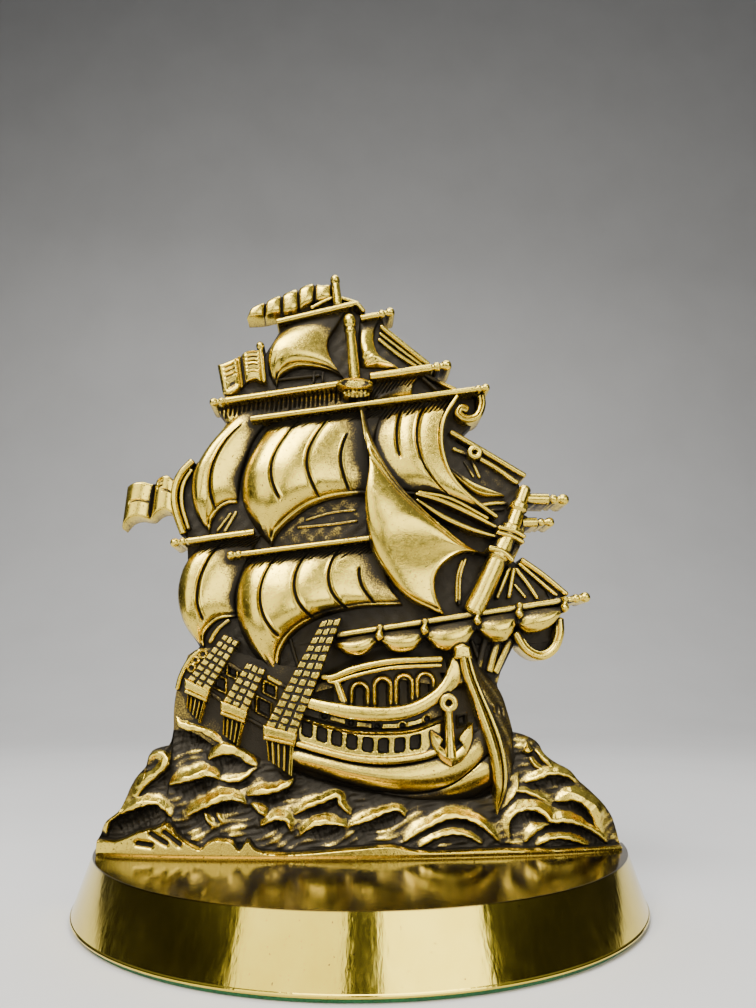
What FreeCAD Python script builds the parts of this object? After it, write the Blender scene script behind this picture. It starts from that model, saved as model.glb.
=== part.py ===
"""A brass bookend: a cast galleon relief on a turned half-round base with a baize pad.

Millimetres, +Z up. The origin is on the surface it stands on, under the middle of its
bounding box. The ship faces -Y, and the flat back of the casting and base is at y = +BACK.
"depth" below is always the distance in front of that flat back.
"""
import FreeCAD, Part
import os

V = FreeCAD.Vector

# ---- driving dimensions ----
BASE_R_BOTTOM = 62.5      # turned disc that the base is sawn from
BASE_R_TOP = 59.3
CHORD_OFFSET = 8.3        # the saw cut, in front of the disc's centre
FELT_T = 0.8
FELT_INSET = 0.6          # the cloth is cut a little smaller than the brass
BASE_T = 11.2
BASE_ARRIS = 0.5          # rounded edges of the polished base
SCREW_X = 26.0            # the two fixings, either side of the middle
SCREW_DEPTH = 6.5
SCREW_R = 2.0             # M4
SCREW_HOLE_R = 2.2        # clearance through the base
TAP_R = 2.05              # blind holes in the casting
TAP_LEN = 10.0
SCREW_BITE = 8.5
HEAD_R = 3.6
HEAD_T = 2.6
HEAD_ARRIS = 0.8
SLOT_W, SLOT_DEEP = 1.0, 1.2
COUNTERBORE_R = 4.2
COUNTERBORE_T = 3.6

FOOT_L, FOOT_R = -56.0, 55.5
FOOT_DEPTH_MID = 15.0
FOOT_DEPTH_END = 8.5
GROUND_DEPTH = 5.0        # flat ground behind the rigging
ROOT = 1.2                # where raised work starts, inside the ground
WEB = 0.86                # width of the metal behind a spar, as a part of the spar's own

# ---- worked out ----
BASE_DEPTH = BASE_R_BOTTOM - CHORD_OFFSET
BACK = BASE_DEPTH / 2
DISC_Y = BACK + CHORD_OFFSET
BASE_TOP = FELT_T + BASE_T


# ---- helpers ----
def at(x, z, depth):
    """A point of the relief, from its place in the front view and its depth."""
    return V(x, BACK - depth, z)


def stretch(points, depth):
    """One edge: straight through two points, an arc through three, a spline through more."""
    pts = [at(x, z, depth) for x, z in points]
    if len(pts) == 2:
        return Part.makeLine(*pts)
    if len(pts) == 3:
        return Part.Arc(*pts).toShape()
    spline = Part.BSplineCurve()
    spline.interpolate(pts)
    return spline.toShape()


def outline(sides, depth):
    return Part.Wire([stretch(points, depth) for points in sides])


def pad(sides, start, end):
    """A flat-topped raised piece with the given outline."""
    return Part.Face(outline(sides, start)).extrude(V(0, start - end, 0))


def centroid(sides):
    xs = [x for points in sides for x, _ in points[:-1]]
    zs = [z for points in sides for _, z in points[:-1]]
    return sum(xs) / len(xs), sum(zs) / len(zs)


def shrunk(sides, k, centre):
    cx, cz = centre
    return [[(cx + (x - cx) * k, cz + (z - cz) * k) for x, z in points] for points in sides]


def crowned(sides, edge, crest, centre=None, start=ROOT):
    """A raised piece that swells from its edge's depth to its crest's depth."""
    centre = centre or centroid(sides)
    steps = [(1.0, start), (1.0, edge), (0.9, edge + (crest - edge) * 0.55),
             (0.72, edge + (crest - edge) * 0.86), (0.42, crest)]
    wires = [outline(shrunk(sides, k, centre), depth) for k, depth in steps]
    return Part.makeLoft(wires, True, True)


def domed(sides, edge, crest, centre, reach):
    """A raised piece whose front is a shallow dome that falls to its edge's depth at reach."""
    radius = reach ** 2 / (2 * (crest - edge))
    dome = Part.makeSphere(radius, at(*centre, crest - radius))
    return pad(sides, ROOT, edge).fuse(pad(sides, ROOT, crest + 1).common(dome))


def bar(a, b, depth, r):
    """A round spar or rope in the front view, with the web of metal that roots it."""
    start, end = at(*a, depth), at(*b, depth)
    length = start.distanceToPoint(end)
    nx, nz = (b[1] - a[1]) / length * WEB * r, (a[0] - b[0]) / length * WEB * r
    corners = [(a[0] + nx, a[1] + nz), (b[0] + nx, b[1] + nz), (b[0] - nx, b[1] - nz), (a[0] - nx, a[1] - nz)]
    web = pad([[p, q] for p, q in zip(corners, corners[1:] + corners[:1])], ROOT, depth)
    return Part.makeCylinder(r, length, start, end - start).fuse(web)


def ball(x, z, depth, r):
    """A turned knob or round end, rooted in the same way."""
    root = Part.makeCylinder(WEB * r, depth - ROOT, at(x, z, ROOT), V(0, -1, 0))
    return Part.makeSphere(r, at(x, z, depth)).fuse(root)


def spar(a, b, depth, r, knob_a=0.0, knob_b=0.0):
    """A yard with turned knobs on its free ends."""
    pieces = [bar(a, b, depth, r)]
    pieces += [ball(*end, depth, knob) for end, knob in ((a, knob_a), (b, knob_b)) if knob]
    return pieces


def rope_path(points, depth, r):
    """A thick rope as straight runs with round corners."""
    runs = [bar(a, b, depth, r) for a, b in zip(points, points[1:])]
    return runs + [ball(*p, depth, r) for p in points[1:-1]]


def join(first, others):
    return first.fuse(others).removeSplitter()


# ---- base, felt and screws ----
def half_disc(r_bottom, r_top, z, height):
    """The turned disc with everything behind the back plane sawn off."""
    axis = V(0, DISC_Y, z)
    if r_bottom == r_top:
        disc = Part.makeCylinder(r_bottom, height, axis)
    else:
        disc = Part.makeCone(r_bottom, r_top, height, axis)
    block = Part.makeBox(4 * r_bottom, 2 * r_bottom, height * 3,
                         V(-2 * r_bottom, BACK - 2 * r_bottom, z - height))
    return disc.common(block)


def screw_axes():
    return [(x, BACK - SCREW_DEPTH) for x in (-SCREW_X, SCREW_X)]


def base_plinth():
    body = half_disc(BASE_R_BOTTOM, BASE_R_TOP, FELT_T, BASE_T)
    rims = [e for e in body.Edges if isinstance(e.Curve, Part.Circle)]
    body = body.makeFillet(BASE_ARRIS, rims)
    for x, y in screw_axes():
        body = body.cut(Part.makeCylinder(SCREW_HOLE_R, BASE_T, V(x, y, FELT_T)))
        body = body.cut(Part.makeCylinder(COUNTERBORE_R, COUNTERBORE_T, V(x, y, FELT_T)))
    return body


def baize_pad():
    radius = BASE_R_BOTTOM - BASE_ARRIS - FELT_INSET
    return half_disc(radius, radius, 0, FELT_T)


def fixing_screws():
    """Two pan-head screws, heads up inside the counterbores."""
    seat = FELT_T + COUNTERBORE_T
    screws = []
    for x, y in screw_axes():
        head = Part.makeCylinder(HEAD_R, HEAD_T, V(x, y, seat - HEAD_T))
        head = head.makeFillet(HEAD_ARRIS, [min(head.Edges, key=lambda e: e.CenterOfMass.z)])
        slot = Part.makeBox(2 * HEAD_R, SLOT_W, SLOT_DEEP, V(x - HEAD_R, y - SLOT_W / 2, seat - HEAD_T))
        shank = Part.makeCylinder(SCREW_R, BASE_TOP - seat + SCREW_BITE, V(x, y, seat))
        screws.append(head.fuse(shank).cut(slot).removeSplitter())
    return Part.makeCompound(screws)


# ---- the sea ----
def sea_depth(x, z):
    """Depth of the sea's front, deepest at the foot's middle, falling back as it rises."""
    across = 1 - ((x - (FOOT_L + FOOT_R) / 2) / ((FOOT_R - FOOT_L) / 2)) ** 2
    foot = FOOT_DEPTH_END + (FOOT_DEPTH_MID - FOOT_DEPTH_END) * max(across, 0)
    rise = max(z - BASE_TOP - 2, 0) / 24
    return foot - (foot - GROUND_DEPTH - 1.5) * min(rise, 1) * 0.8


def sea_body():
    """The mound: plan-shaped sections lofted upwards, trimmed to the sea's outline."""
    sections = []
    for z in (BASE_TOP, BASE_TOP + 2, 24, 40):
        front = [at(FOOT_L - 1, z, sea_depth(FOOT_L, z)), at(0, z, sea_depth(0, z)),
                 at(FOOT_R + 1, z, sea_depth(FOOT_R, z))]
        back_l, back_r = at(FOOT_L - 1, z, 0), at(FOOT_R + 1, z, 0)
        sections.append(Part.Wire([Part.Arc(*front).toShape(), Part.makeLine(front[2], back_r),
                                   Part.makeLine(back_r, back_l), Part.makeLine(back_l, front[0])]))
    mound = Part.makeLoft(sections, True, True)
    edge = [
        [(FOOT_L, BASE_TOP), (-55.6, 16), (-54, 19.6), (-51, 22)],
        [(-51, 22), (-50, 26), (-47.5, 31), (-44.5, 33.4), (-42, 31.8)],
        [(-42, 31.8), (-41, 38)], [(-41, 38), (-33, 35.5), (-24, 30)],
        [(-24, 30), (0, 24)], [(0, 24), (28, 21)], [(28, 21), (33.5, 35)],
        [(33.5, 35), (36, 35.4), (38, 34), (41, 30.5), (45, 28)],
        [(45, 28), (50, 24), (53.4, 20.5), (55, 17), (FOOT_R, BASE_TOP)],
        [(FOOT_R, BASE_TOP), (FOOT_L, BASE_TOP)],
    ]
    return mound.common(pad(edge, -1, FOOT_DEPTH_MID + 2))


WAVE_CRESTS = [   # each crest rises from its first point over its middle to its last
    [(-53, 16), (-49, 21.5), (-41, 20)], [(-42, 25.5), (-37, 28.6), (-31, 27)],
    [(-38, 20), (-32, 23.6), (-26, 22.4)], [(-34.5, 30.6), (-30, 34), (-23.3, 29.4)],
    [(-41, 36.5), (-38, 37.5), (-33, 35)], [(-29.5, 27), (-26, 28.6), (-23, 27.6)],
    [(-22.5, 24), (-18, 26.2), (-15, 25.6)], [(-22, 18), (-18.5, 20), (-15, 16.4)],
    [(-15.5, 20), (-9, 23.6), (-4, 20)], [(-14, 16), (-6, 18.6), (3, 19.4)],
    [(-2, 18.4), (4, 20.8), (9, 20)], [(8, 14.5), (17.5, 19), (29, 15.4)],
    [(30.5, 15.5), (35, 21), (41, 18)], [(35, 26.5), (41, 29), (46, 25.8)],
    [(42, 23), (48.5, 24), (53.5, 16.5)], [(37, 14), (45, 16.6), (53, 13.4)],
    [(-50, 15), (-42, 18.8), (-36, 14.2)], [(34.5, 31), (37, 33.6), (41, 28.8)],
]
CREST_WIDTH = 1.5
CREST_PROUD = 1.5


def wave_crest(points):
    """A crescent: a high outer arc over a flatter inner one."""
    a, top, b = points
    inner = (top[0], top[1] - CREST_WIDTH)
    sides = [[a, top, b], [b, inner, a]]
    return pad(sides, ROOT, sea_depth(*top) + CREST_PROUD)


def foot_band():
    """The rounded rim along the casting's foot."""
    bottom, top = BASE_TOP, BASE_TOP + 1.6
    plan = [at(FOOT_L, bottom, FOOT_DEPTH_END), at(0, bottom, FOOT_DEPTH_MID + 0.3),
            at(FOOT_R, bottom, FOOT_DEPTH_END)]
    back_l, back_r = at(FOOT_L, bottom, 0), at(FOOT_R, bottom, 0)
    face = Part.Face(Part.Wire([Part.Arc(*plan).toShape(), Part.makeLine(plan[2], back_r),
                                Part.makeLine(back_r, back_l), Part.makeLine(back_l, plan[0])]))
    return face.extrude(V(0, 0, top - bottom))


def sea():
    return [sea_body(), foot_band()] + [wave_crest(points) for points in WAVE_CRESTS]


# ---- the ground behind the ship ----
def ground():
    edge = [
        [(-41, 30), (-41.2, 47)], [(-41.2, 47), (-37.5, 55)],
        [(-37.5, 55), (-41.6, 61), (-42.3, 68), (-40.4, 75), (-38, 79)],
        [(-38, 79), (-43, 86), (-43.5, 92), (-40, 98.4)],
        [(-40, 98.4), (-37.5, 103), (-32.5, 112)],
        [(-32.5, 112), (-33.5, 117)], [(-33.5, 117), (-25, 127)], [(-25, 127), (-21, 134)],
        [(-21, 134), (-21, 137.5)], [(-21, 137.5), (-9, 143)], [(-9, 143), (-6.5, 141)],
        [(-6.5, 141), (-1, 138)], [(-1, 138), (5, 136.5)], [(5, 136.5), (5, 133)],
        [(5, 133), (16, 123)], [(16, 123), (20, 118)], [(20, 118), (28, 116)],
        [(28, 116), (27, 107.5)], [(27, 107.5), (22, 105)], [(22, 105), (38, 94)],
        [(38, 94), (38, 84)], [(38, 84), (35, 75)], [(35, 75), (46, 66)],
        [(46, 66), (44, 58)], [(44, 58), (39.5, 53.6), (35, 57)],
        [(35, 57), (29, 47)], [(29, 47), (33.5, 33)], [(33.5, 33), (30, 18)],
        [(30, 18), (-30, 18)], [(-30, 18), (-41, 30)],
    ]
    return pad(edge, 0, GROUND_DEPTH)


# ---- sails ----
SAIL_EDGE = 6.2
SAIL_CREST = 10.2
SAILS = {
    "mizzen_course": ([[(-39, 78.6), (-42.5, 71), (-41.8, 61), (-35.6, 53.8)],
                       [(-35.6, 53.8), (-35.4, 59), (-30, 61)], [(-30, 61), (-27.5, 74)],
                       [(-27.5, 74), (-27, 80.4)], [(-27, 80.4), (-39, 78.6)]], 0.0),
    "mizzen_topsail": ([[(-33.5, 111), (-39.4, 101), (-40.3, 91), (-36, 80.6)],
                        [(-36, 80.6), (-34.5, 85.5), (-30, 88)], [(-30, 88), (-24.5, 108)],
                        [(-24.5, 108), (-24.5, 113.4)], [(-24.5, 113.4), (-33.5, 111)]], 0.0),
    "main_course": ([[(-27.5, 76), (-29.9, 66), (-26, 54.5), (-18, 47.3)],
                     [(-18, 47.3), (-17, 57), (-8, 62.2), (9, 64.3)], [(9, 64.3), (3.2, 73), (1, 79)],
                     [(1, 79), (-27.5, 76)]], 0.6),
    "main_topsail": ([[(-25, 108.5), (-29, 97), (-28, 85), (-21.4, 77.8)],
                      [(-21.4, 77.8), (-16, 85.8), (-1, 90.4)], [(-1, 90.4), (1.4, 97.5), (-2, 112)],
                      [(-2, 112), (-25, 108.5)]], 0.6),
    "topgallant": ([[(-19.8, 134.4), (-24, 126), (-21.4, 117)],
                    [(-21.4, 117), (-17, 122), (-9, 122.4), (-4.9, 120.3)],
                    [(-4.9, 120.3), (-9.2, 129), (-5.8, 138)], [(-5.8, 138), (-19.8, 134.4)]], 0.0),
    "fore_topgallant": ([[(-1.6, 136), (-1.2, 123)], [(-1.2, 123), (9, 122.2)],
                         [(9, 122.2), (2.4, 129), (4, 137)], [(4, 137), (-1.6, 136)]], -0.8),
    "fore_topsail": ([[(-1, 112.6), (4.5, 99), (11.5, 90)], [(11.5, 90), (17, 90), (22, 88), (30.4, 84.8)],
                      [(30.4, 84.8), (25, 88.6), (20, 94), (18, 103), (22.5, 115.8)],
                      [(22.5, 115.8), (-1, 112.6)]], 0.3),
    "staysail": ([[(-2.6, 114.6), (-0.9, 107), (1.6, 97), (0.2, 86), (5, 71), (18.6, 62)],
                  [(18.6, 62), (15.8, 70), (19.6, 75.4), (25, 76), (31, 75)],
                  [(31, 75), (31.4, 77)],
                  [(31.4, 77), (25, 78.6), (17, 82.4), (7, 94.4), (1.4, 106), (-0.6, 114)],
                  [(-0.6, 114), (-2.6, 114.6)]], 1.8),
}
BELLIES = {   # middle of each belly, and how far from it the cloth has fallen to its edge
    "mizzen_course": (-36.0, 67.0, 15.0), "mizzen_topsail": (-33.5, 96.0, 16.0),
    "main_course": (-16.0, 67.0, 19.0), "main_topsail": (-15.0, 97.0, 19.0),
    "topgallant": (-14.0, 127.0, 11.0), "fore_topgallant": (1.0, 129.0, 9.0),
    "fore_topsail": (10.5, 102.0, 16.0), "staysail": (10.0, 78.0, 17.0),
}


STRIPS = [   # narrow bands of cloth that show between two yards
    [(-36, 111.8), (-5, 117.2), (-3, 112.8), (-32, 107.8)],
    [(0.8, 113.6), (0.6, 119.2), (14.4, 121.8), (11.8, 116.4)],
]


def sails():
    pieces = [pad([[p, q] for p, q in zip(strip, strip[1:] + strip[:1])], ROOT, SAIL_EDGE + 0.3)
              for strip in STRIPS]
    for name, (sides, lift) in SAILS.items():
        x, z, reach = BELLIES[name]
        pieces.append(domed(sides, SAIL_EDGE + lift, SAIL_CREST + lift, (x, z), reach))
    return pieces


# ---- spars, mast tops and standing ropes ----
SPAR_DEPTH = 9.6


def yards():
    d = SPAR_DEPTH
    pieces = spar((-44, 78.3), (-26, 81), d - 1.4, 0.8, 1.15)
    pieces += spar((-30.6, 75.2), (1, 79.6), d, 0.7, 1.0)
    pieces += spar((-26.8, 108.1), (29.2, 116.6), d, 0.65, 0.0, 0.95)
    pieces += spar((-36.8, 112.4), (-5, 117.6), d - 1.2, 0.8, 1.1)
    pieces += spar((1, 119.4), (20.2, 122.9), d - 1.2, 1.0, 0.0, 1.35)
    pieces += spar((-21.2, 134.1), (-3.4, 139.2), d - 2, 0.6, 0.7)
    pieces += spar((-1.4, 135.2), (6.2, 137.2), d - 2.4, 0.8, 0.0, 1.1)
    return pieces


def masts():
    mast = spar((-2.4, 118.6), (-4.1, 134.6), 8.6, 1.25, 0.0, 1.4)
    top = Part.makeCone(2.6, 4.4, 1.6, at(-2.5, 116.4, 8.4)).fuse(
        Part.makeCylinder(4.4, 0.9, at(-2.5, 118, 8.4)))
    bowsprit = [bar((24.2, 62.5), (31.4, 79), 8.8, 2.1), bar((31.4, 79), (38, 93), 8.8, 1.6),
                ball(38, 93, 8.8, 1.7), bar((34, 87), (34.9, 89), 8.8, 2.2),
                bar((30.6, 77.4), (31.2, 78.8), 8.8, 2.7), bar((32.4, 81.2), (33, 82.6), 8.8, 2.6)]
    side = [bar((28.6, 64.5), (34.6, 84.5), 7, 1.0), bar((24, 50), (29, 62), 6.6, 0.9),
            bar((26.4, 48.6), (31.4, 60), 6.4, 0.9), bar((28.6, 48), (33.6, 58), 6, 0.8)]
    stubs = spar((38, 89.4), (47.4, 89.4), 8, 1.3, 0, 1.3) + spar((37, 83.8), (44, 84), 8, 1.1, 0, 1.1)
    return mast + [top] + bowsprit + side + stubs


ROPES = [   # (from, to, depth, radius)
    ((4, 133), (15.5, 123), 6.4, 0.6), ((4.5, 129), (14, 123), 6.2, 0.5),
    ((20.4, 106.4), (38, 95.4), 6.4, 0.6), ((27.1, 100.3), (37, 93.6), 6.1, 0.6),
    ((12, 90), (32, 81.4), 9.6, 0.55), ((12, 88.6), (31.5, 79.6), 9.6, 0.45),
    ((35, 75.6), (46, 66.4), 6.4, 0.6), ((34, 74), (45, 65.4), 6.4, 0.5),
    ((34.5, 72), (39.2, 65.4), 6.2, 0.5), ((33.5, 68), (38, 65), 6.2, 0.5),
    ((14.6, 120.6), (22.5, 117.4), 6.4, 0.5), ((13.4, 120.6), (18, 116.8), 6.2, 0.5),
]


def ropes():
    pieces = [bar(a, b, depth, r) for a, b, depth, r in ROPES]
    outer = [[(-40, 98.4), (-44.3, 90), (-41, 79.6)], [(-41, 79.6), (-42.6, 90), (-38.6, 98)],
             [(-38.6, 98), (-40, 98.4)]]
    return pieces + [pad(outer, ROOT, 6.6)]


def block():
    """The deadeye on the fore stay, with its round hole."""
    x, z = 26.4, 101
    ring = Part.makeCylinder(1.65, 7.4, at(x, z, 0), V(0, -1, 0))
    return ring.cut(Part.makeCylinder(0.6, 1.6, at(x, z, 6.2), V(0, -1, 0)))


def yard_curl():
    """The rope's hanging bight at the fore topsail yard's end."""
    return rope_path([(28.2, 115.6), (28.5, 113), (27, 110.2), (24.6, 109.6), (22.8, 111)], 7, 1.0)


def clew_loop():
    """The sheet that hangs in a bight under the furled sail."""
    return rope_path([(44.6, 60.6), (44.4, 57), (42.6, 54.2), (39.9, 53), (36.9, 54.4), (34.6, 58)], 6.8, 1.0)


def furled_sail():
    """A yard with five swags of gathered canvas, tied between."""
    yard = spar((-6, 57.4), (50, 66), 9.4, 0.7, 0.0, 1.1)
    ties = [(-5.6, 56), (3.2, 57.8), (13.4, 59), (25.5, 61), (35.2, 62.6), (45.4, 64)]
    swags = []
    for (xa, za), (xb, zb) in zip(ties, ties[1:]):
        low = ((xa + xb) / 2, (za + zb) / 2 - 4)
        swags.append(crowned([[(xa, za), low, (xb, zb)], [(xb, zb), (xa, za)]], 7.6, 11))
    knots = [bar((x, z - 1.2), (x + 0.1, z + 2.2), 9.8, 1.0) for x, z in ties[1:-1]]
    return yard + swags + knots


# ---- flags ----
def flags():
    stern = [[(-56, 92), (-53, 93), (-50.4, 92.4)], [(-50.4, 92.4), (-47, 94.4), (-44, 92.4)],
             [(-44, 92.4), (-44, 84.8)], [(-44, 84.8), (-46.6, 86.2), (-50, 84)],
             [(-50, 84), (-53, 84.8), (-56.4, 81.8)], [(-56.4, 81.8), (-56, 92)]]
    middle = [[(-36.5, 123), (-33.5, 123.6), (-31.4, 125.6)], [(-31.4, 125.6), (-30, 127), (-26.4, 127)],
              [(-26.4, 127), (-25, 119)], [(-25, 119), (-28, 118.8), (-30.4, 116.6)],
              [(-30.4, 116.6), (-32, 115), (-34.6, 115.4)], [(-34.6, 115.4), (-36.5, 123)]]
    banner = [[(-29.6, 136), (-28.6, 138), (-24, 141.2)], [(-24, 141.2), (-14, 145.4), (-8.6, 145.4)],
              [(-8.6, 145.4), (-8.6, 141.4)], [(-8.6, 141.4), (-14, 140.4), (-18, 137.6)],
              [(-18, 137.6), (-23, 137), (-29.6, 136)]]
    poles = [bar((-24.6, 119), (-26.1, 127.6), 7.4, 0.8), ball(-26.1, 128.4, 7.4, 1.0),
             bar((-7.2, 139.5), (-7.9, 145.6), 7.6, 1.1), ball(-7.9, 146.8, 7.6, 1.2)]
    return [pad(edge, 0, 7.6) for edge in (stern, middle, banner)] + poles


# ---- hull ----
HULL_CREST = 12.6
GUNPORTS = [(-12.9, 37.2), (-9.8, 36.2), (-6.6, 35), (-2.9, 34.3), (0.5, 33.8), (4, 33.6),
            (7.5, 33.7), (10.6, 34.2), (13.3, 34.9)]
SCUPPERS = [(-8.9, 39.7), (-3, 38.6), (2.6, 38), (8.1, 37.9)]
PORT_W, PORT_H, PORT_SUNK = 2.0, 2.4, 1.6


def hull_body():
    sides = [[(-41, 37), (-41.4, 47), (-38, 53)], [(-38, 53), (-27, 47.5), (-13, 43.4)],
             [(-13, 43.4), (0, 41), (11, 41.2), (17.5, 45.4)], [(17.5, 45.4), (22, 54.6)],
             [(22, 54.6), (25, 42), (29.4, 27)], [(29.4, 27), (28.2, 20.6)],
             [(28.2, 20.6), (10, 22.6), (-13, 27.4)], [(-13, 27.4), (-30, 34), (-41, 37)]]
    return crowned(sides, 8.2, HULL_CREST - 1, (4, 34))


def wale(upper, lower, depth):
    """One raised plank band between two long arcs."""
    return pad([upper, [upper[-1], lower[-1]], lower[::-1], [lower[0], upper[0]]], ROOT, depth)


def hull_bands():
    top = HULL_CREST
    return [
        wale([(-12.5, 43.6), (2, 40.9), (17, 45)], [(-12.8, 41.6), (3, 38.8), (17.5, 42.4)], top),
        wale([(-14, 35.4), (3, 31.6), (17, 33)], [(-14, 34), (3, 30.4), (17, 31.8)], top + 0.4),
        wale([(-13.6, 32.8), (5, 29.8), (26.5, 31.4)], [(-13.4, 28.6), (8, 24.2), (26.6, 30.2)], top + 0.8),
        wale([(9, 24), (20, 22.8), (27.8, 29)], [(9.5, 22.6), (20, 21.2), (28.2, 26)], top - 0.6),
    ]


def stem():
    """The forked stem post with its head cap."""
    blade = [[(21.4, 54), (23.4, 45), (26.6, 33), (28, 20.6)], [(28, 20.6), (29.8, 28), (26, 44), (23.4, 54)],
             [(23.4, 54), (21.4, 54)]]
    rail = [[(21.2, 54), (20.4, 49), (16.6, 44.8)], [(16.6, 44.8), (17.4, 43.2)],
            [(17.4, 43.2), (22, 47), (22.8, 54)], [(22.8, 54), (21.2, 54)]]
    cap = Part.makeBox(3.4, 7, 2.4, at(20.2, 53.4, 12.4))
    return [pad(blade, ROOT, 12.8), pad(rail, ROOT, 12.2), cap]


def anchor():
    """Ring, shank and curved arms with a fluke on each."""
    depth = 14.2
    root = 8
    ring = Part.makeCylinder(1.95, depth - root, at(18, 42.6, root), V(0, -1, 0)).cut(
        Part.makeCylinder(0.8, 1.5, at(18, 42.6, depth - 1.5), V(0, -1, 0)))
    shank = pad([[(17.3, 41.4), (18.7, 41.4)], [(18.7, 41.4), (19.3, 31)],
                 [(19.3, 31), (17, 31)], [(17, 31), (17.3, 41.4)]], root, depth - 0.3)
    arms = pad([[(13.8, 36.7), (15, 32.4), (18.2, 29.5)], [(18.2, 29.5), (21.8, 32.2), (23.2, 38.5)],
                [(23.2, 38.5), (20.8, 35), (18.2, 32.8)], [(18.2, 32.8), (16, 34), (13.8, 36.7)]],
               root, depth + 0.5)
    return [ring, shank, arms]


def hull_pockets():
    """Gun ports and scuppers sunk into the side between the bands."""
    top = HULL_CREST + 1
    ports = [Part.makeBox(PORT_W, top - HULL_CREST + PORT_SUNK + 1, PORT_H,
                          at(x - PORT_W / 2, z - PORT_H / 2, top)) for x, z in GUNPORTS]
    round_ones = [Part.makeCylinder(0.7, 3, at(x, z, HULL_CREST - 2.2), V(0, -1, 0))
                  for x, z in SCUPPERS]
    return ports + round_ones


def forecastle():
    """The arcaded bulwark behind the rail, under its curved roof moulding."""
    corners = [(-6.6, 46.5), (17, 52.5), (17, 44), (0, 40)]
    wall = pad([[p, q] for p, q in zip(corners, corners[1:] + corners[:1])], ROOT, 8.4)
    roof = wale([(-9, 49.4), (2, 51.6), (17, 52.8)], [(-6.4, 47.2), (4, 49.6), (16.6, 50.6)], 9.6)
    half, sunk, floor = 1.35, 2.4, 6.6
    arches = [Part.makeCylinder(half, sunk, at(x, z, floor), V(0, -1, 0)).fuse(
        Part.makeBox(2 * half, sunk, 4, at(x - half, z - 4, floor + sunk))) for x, z in
        ((-1.5, 45), (3.8, 46.2), (8.6, 47), (13.3, 47.4))]
    return wall.cut(arches), roof


# ---- shrouds: a raised lattice of little squares over each channel ----
SHROUDS = [   # (foot left, foot right, head, rows, depth)
    ((-20.8, 37.6), (-14.8, 36), (-7.2, 60), 14, 12.2),
    ((-31.4, 42.4), (-26.4, 40), (-22.6, 51), 6, 10.6),
    ((-39.6, 46.4), (-34.6, 44.2), (-29.4, 58), 8, 9.8),
]
LATTICE_COLUMNS = 3


def shroud(left, right, head, rows, depth):
    """A sloping panel with rows of square bosses, its channel plank and the pillar below."""
    rise = (head[0] - right[0], head[1] - right[1])
    across = (right[0] - left[0], right[1] - left[1])
    taper = 0.72
    pieces = []
    for row in range(rows):
        t = (row + 0.5) / rows
        width = 1 - (1 - taper) * t
        for column in range(LATTICE_COLUMNS):
            s = (column + 0.5) / LATTICE_COLUMNS * width
            x = left[0] + rise[0] * t + across[0] * (s + 1 - width)
            z = left[1] + rise[1] * t + across[1] * (s + 1 - width)
            size = 1.15 * width
            pieces.append(Part.makeBox(size, 2, size, at(x - size / 2, z - size / 2, depth)))
    head_l = (left[0] + rise[0] + across[0] * (1 - taper), left[1] + rise[1] + across[1] * (1 - taper))
    sheet = pad([[left, right], [right, head], [head, head_l], [head_l, left]], ROOT, depth - 0.7)
    channel = pad([[(left[0] - 0.8, left[1] + 0.6), (right[0] + 0.4, right[1] + 0.2)],
                   [(right[0] + 0.4, right[1] + 0.2), (right[0] + 0.2, right[1] - 1.6)],
                   [(right[0] + 0.2, right[1] - 1.6), (left[0] - 0.6, left[1] - 1.2)],
                   [(left[0] - 0.6, left[1] - 1.2), (left[0] - 0.8, left[1] + 0.6)]], ROOT, depth + 1)
    x, z = (left[0] + right[0]) / 2, (left[1] + right[1]) / 2
    corners = [(x - 2, z - 1), (x + 2, z - 2), (x + 1.4, z - 8), (x + 0.2, z - 7)]
    pillar = pad([[p, q] for p, q in zip(corners, corners[1:] + corners[:1])], ROOT, depth + 0.2)
    return [sheet, channel, pillar] + pieces


# ---- the casting ----
def galleon_casting():
    """Everything above the base, joined into the single piece of metal that it is."""
    body = join(ground(), sea() + [hull_body()])
    body = join(body, hull_bands())
    body = body.cut(hull_pockets())
    body = join(body, stem() + anchor() + list(forecastle()))
    body = join(body, sails())
    for panel in SHROUDS:
        body = join(body, shroud(*panel))
    body = join(body, yards() + masts() + furled_sail())
    body = join(body, ropes() + [block()] + yard_curl() + clew_loop() + flags())
    taps = [Part.makeCylinder(TAP_R, TAP_LEN, V(x, y, BASE_TOP)) for x, y in screw_axes()]
    return body.cut(taps)


def main():
    os.makedirs("parts", exist_ok=True)
    nodes = {"base_plinth": base_plinth(), "baize_pad": baize_pad(),
             "fixing_screws": fixing_screws(), "galleon_casting": galleon_casting()}
    for name, shape in nodes.items():
        box = shape.BoundBox
        limits = (box.XMin, box.XMax, box.YMin, box.YMax, box.ZMin, box.ZMax)
        print(name, "valid", shape.isValid(), "solids", len(shape.Solids), "volume", round(shape.Volume),
              "x %.1f %.1f y %.1f %.1f z %.1f %.1f" % limits)
        shape.exportStep("parts/%s.step" % name)


main()
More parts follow.
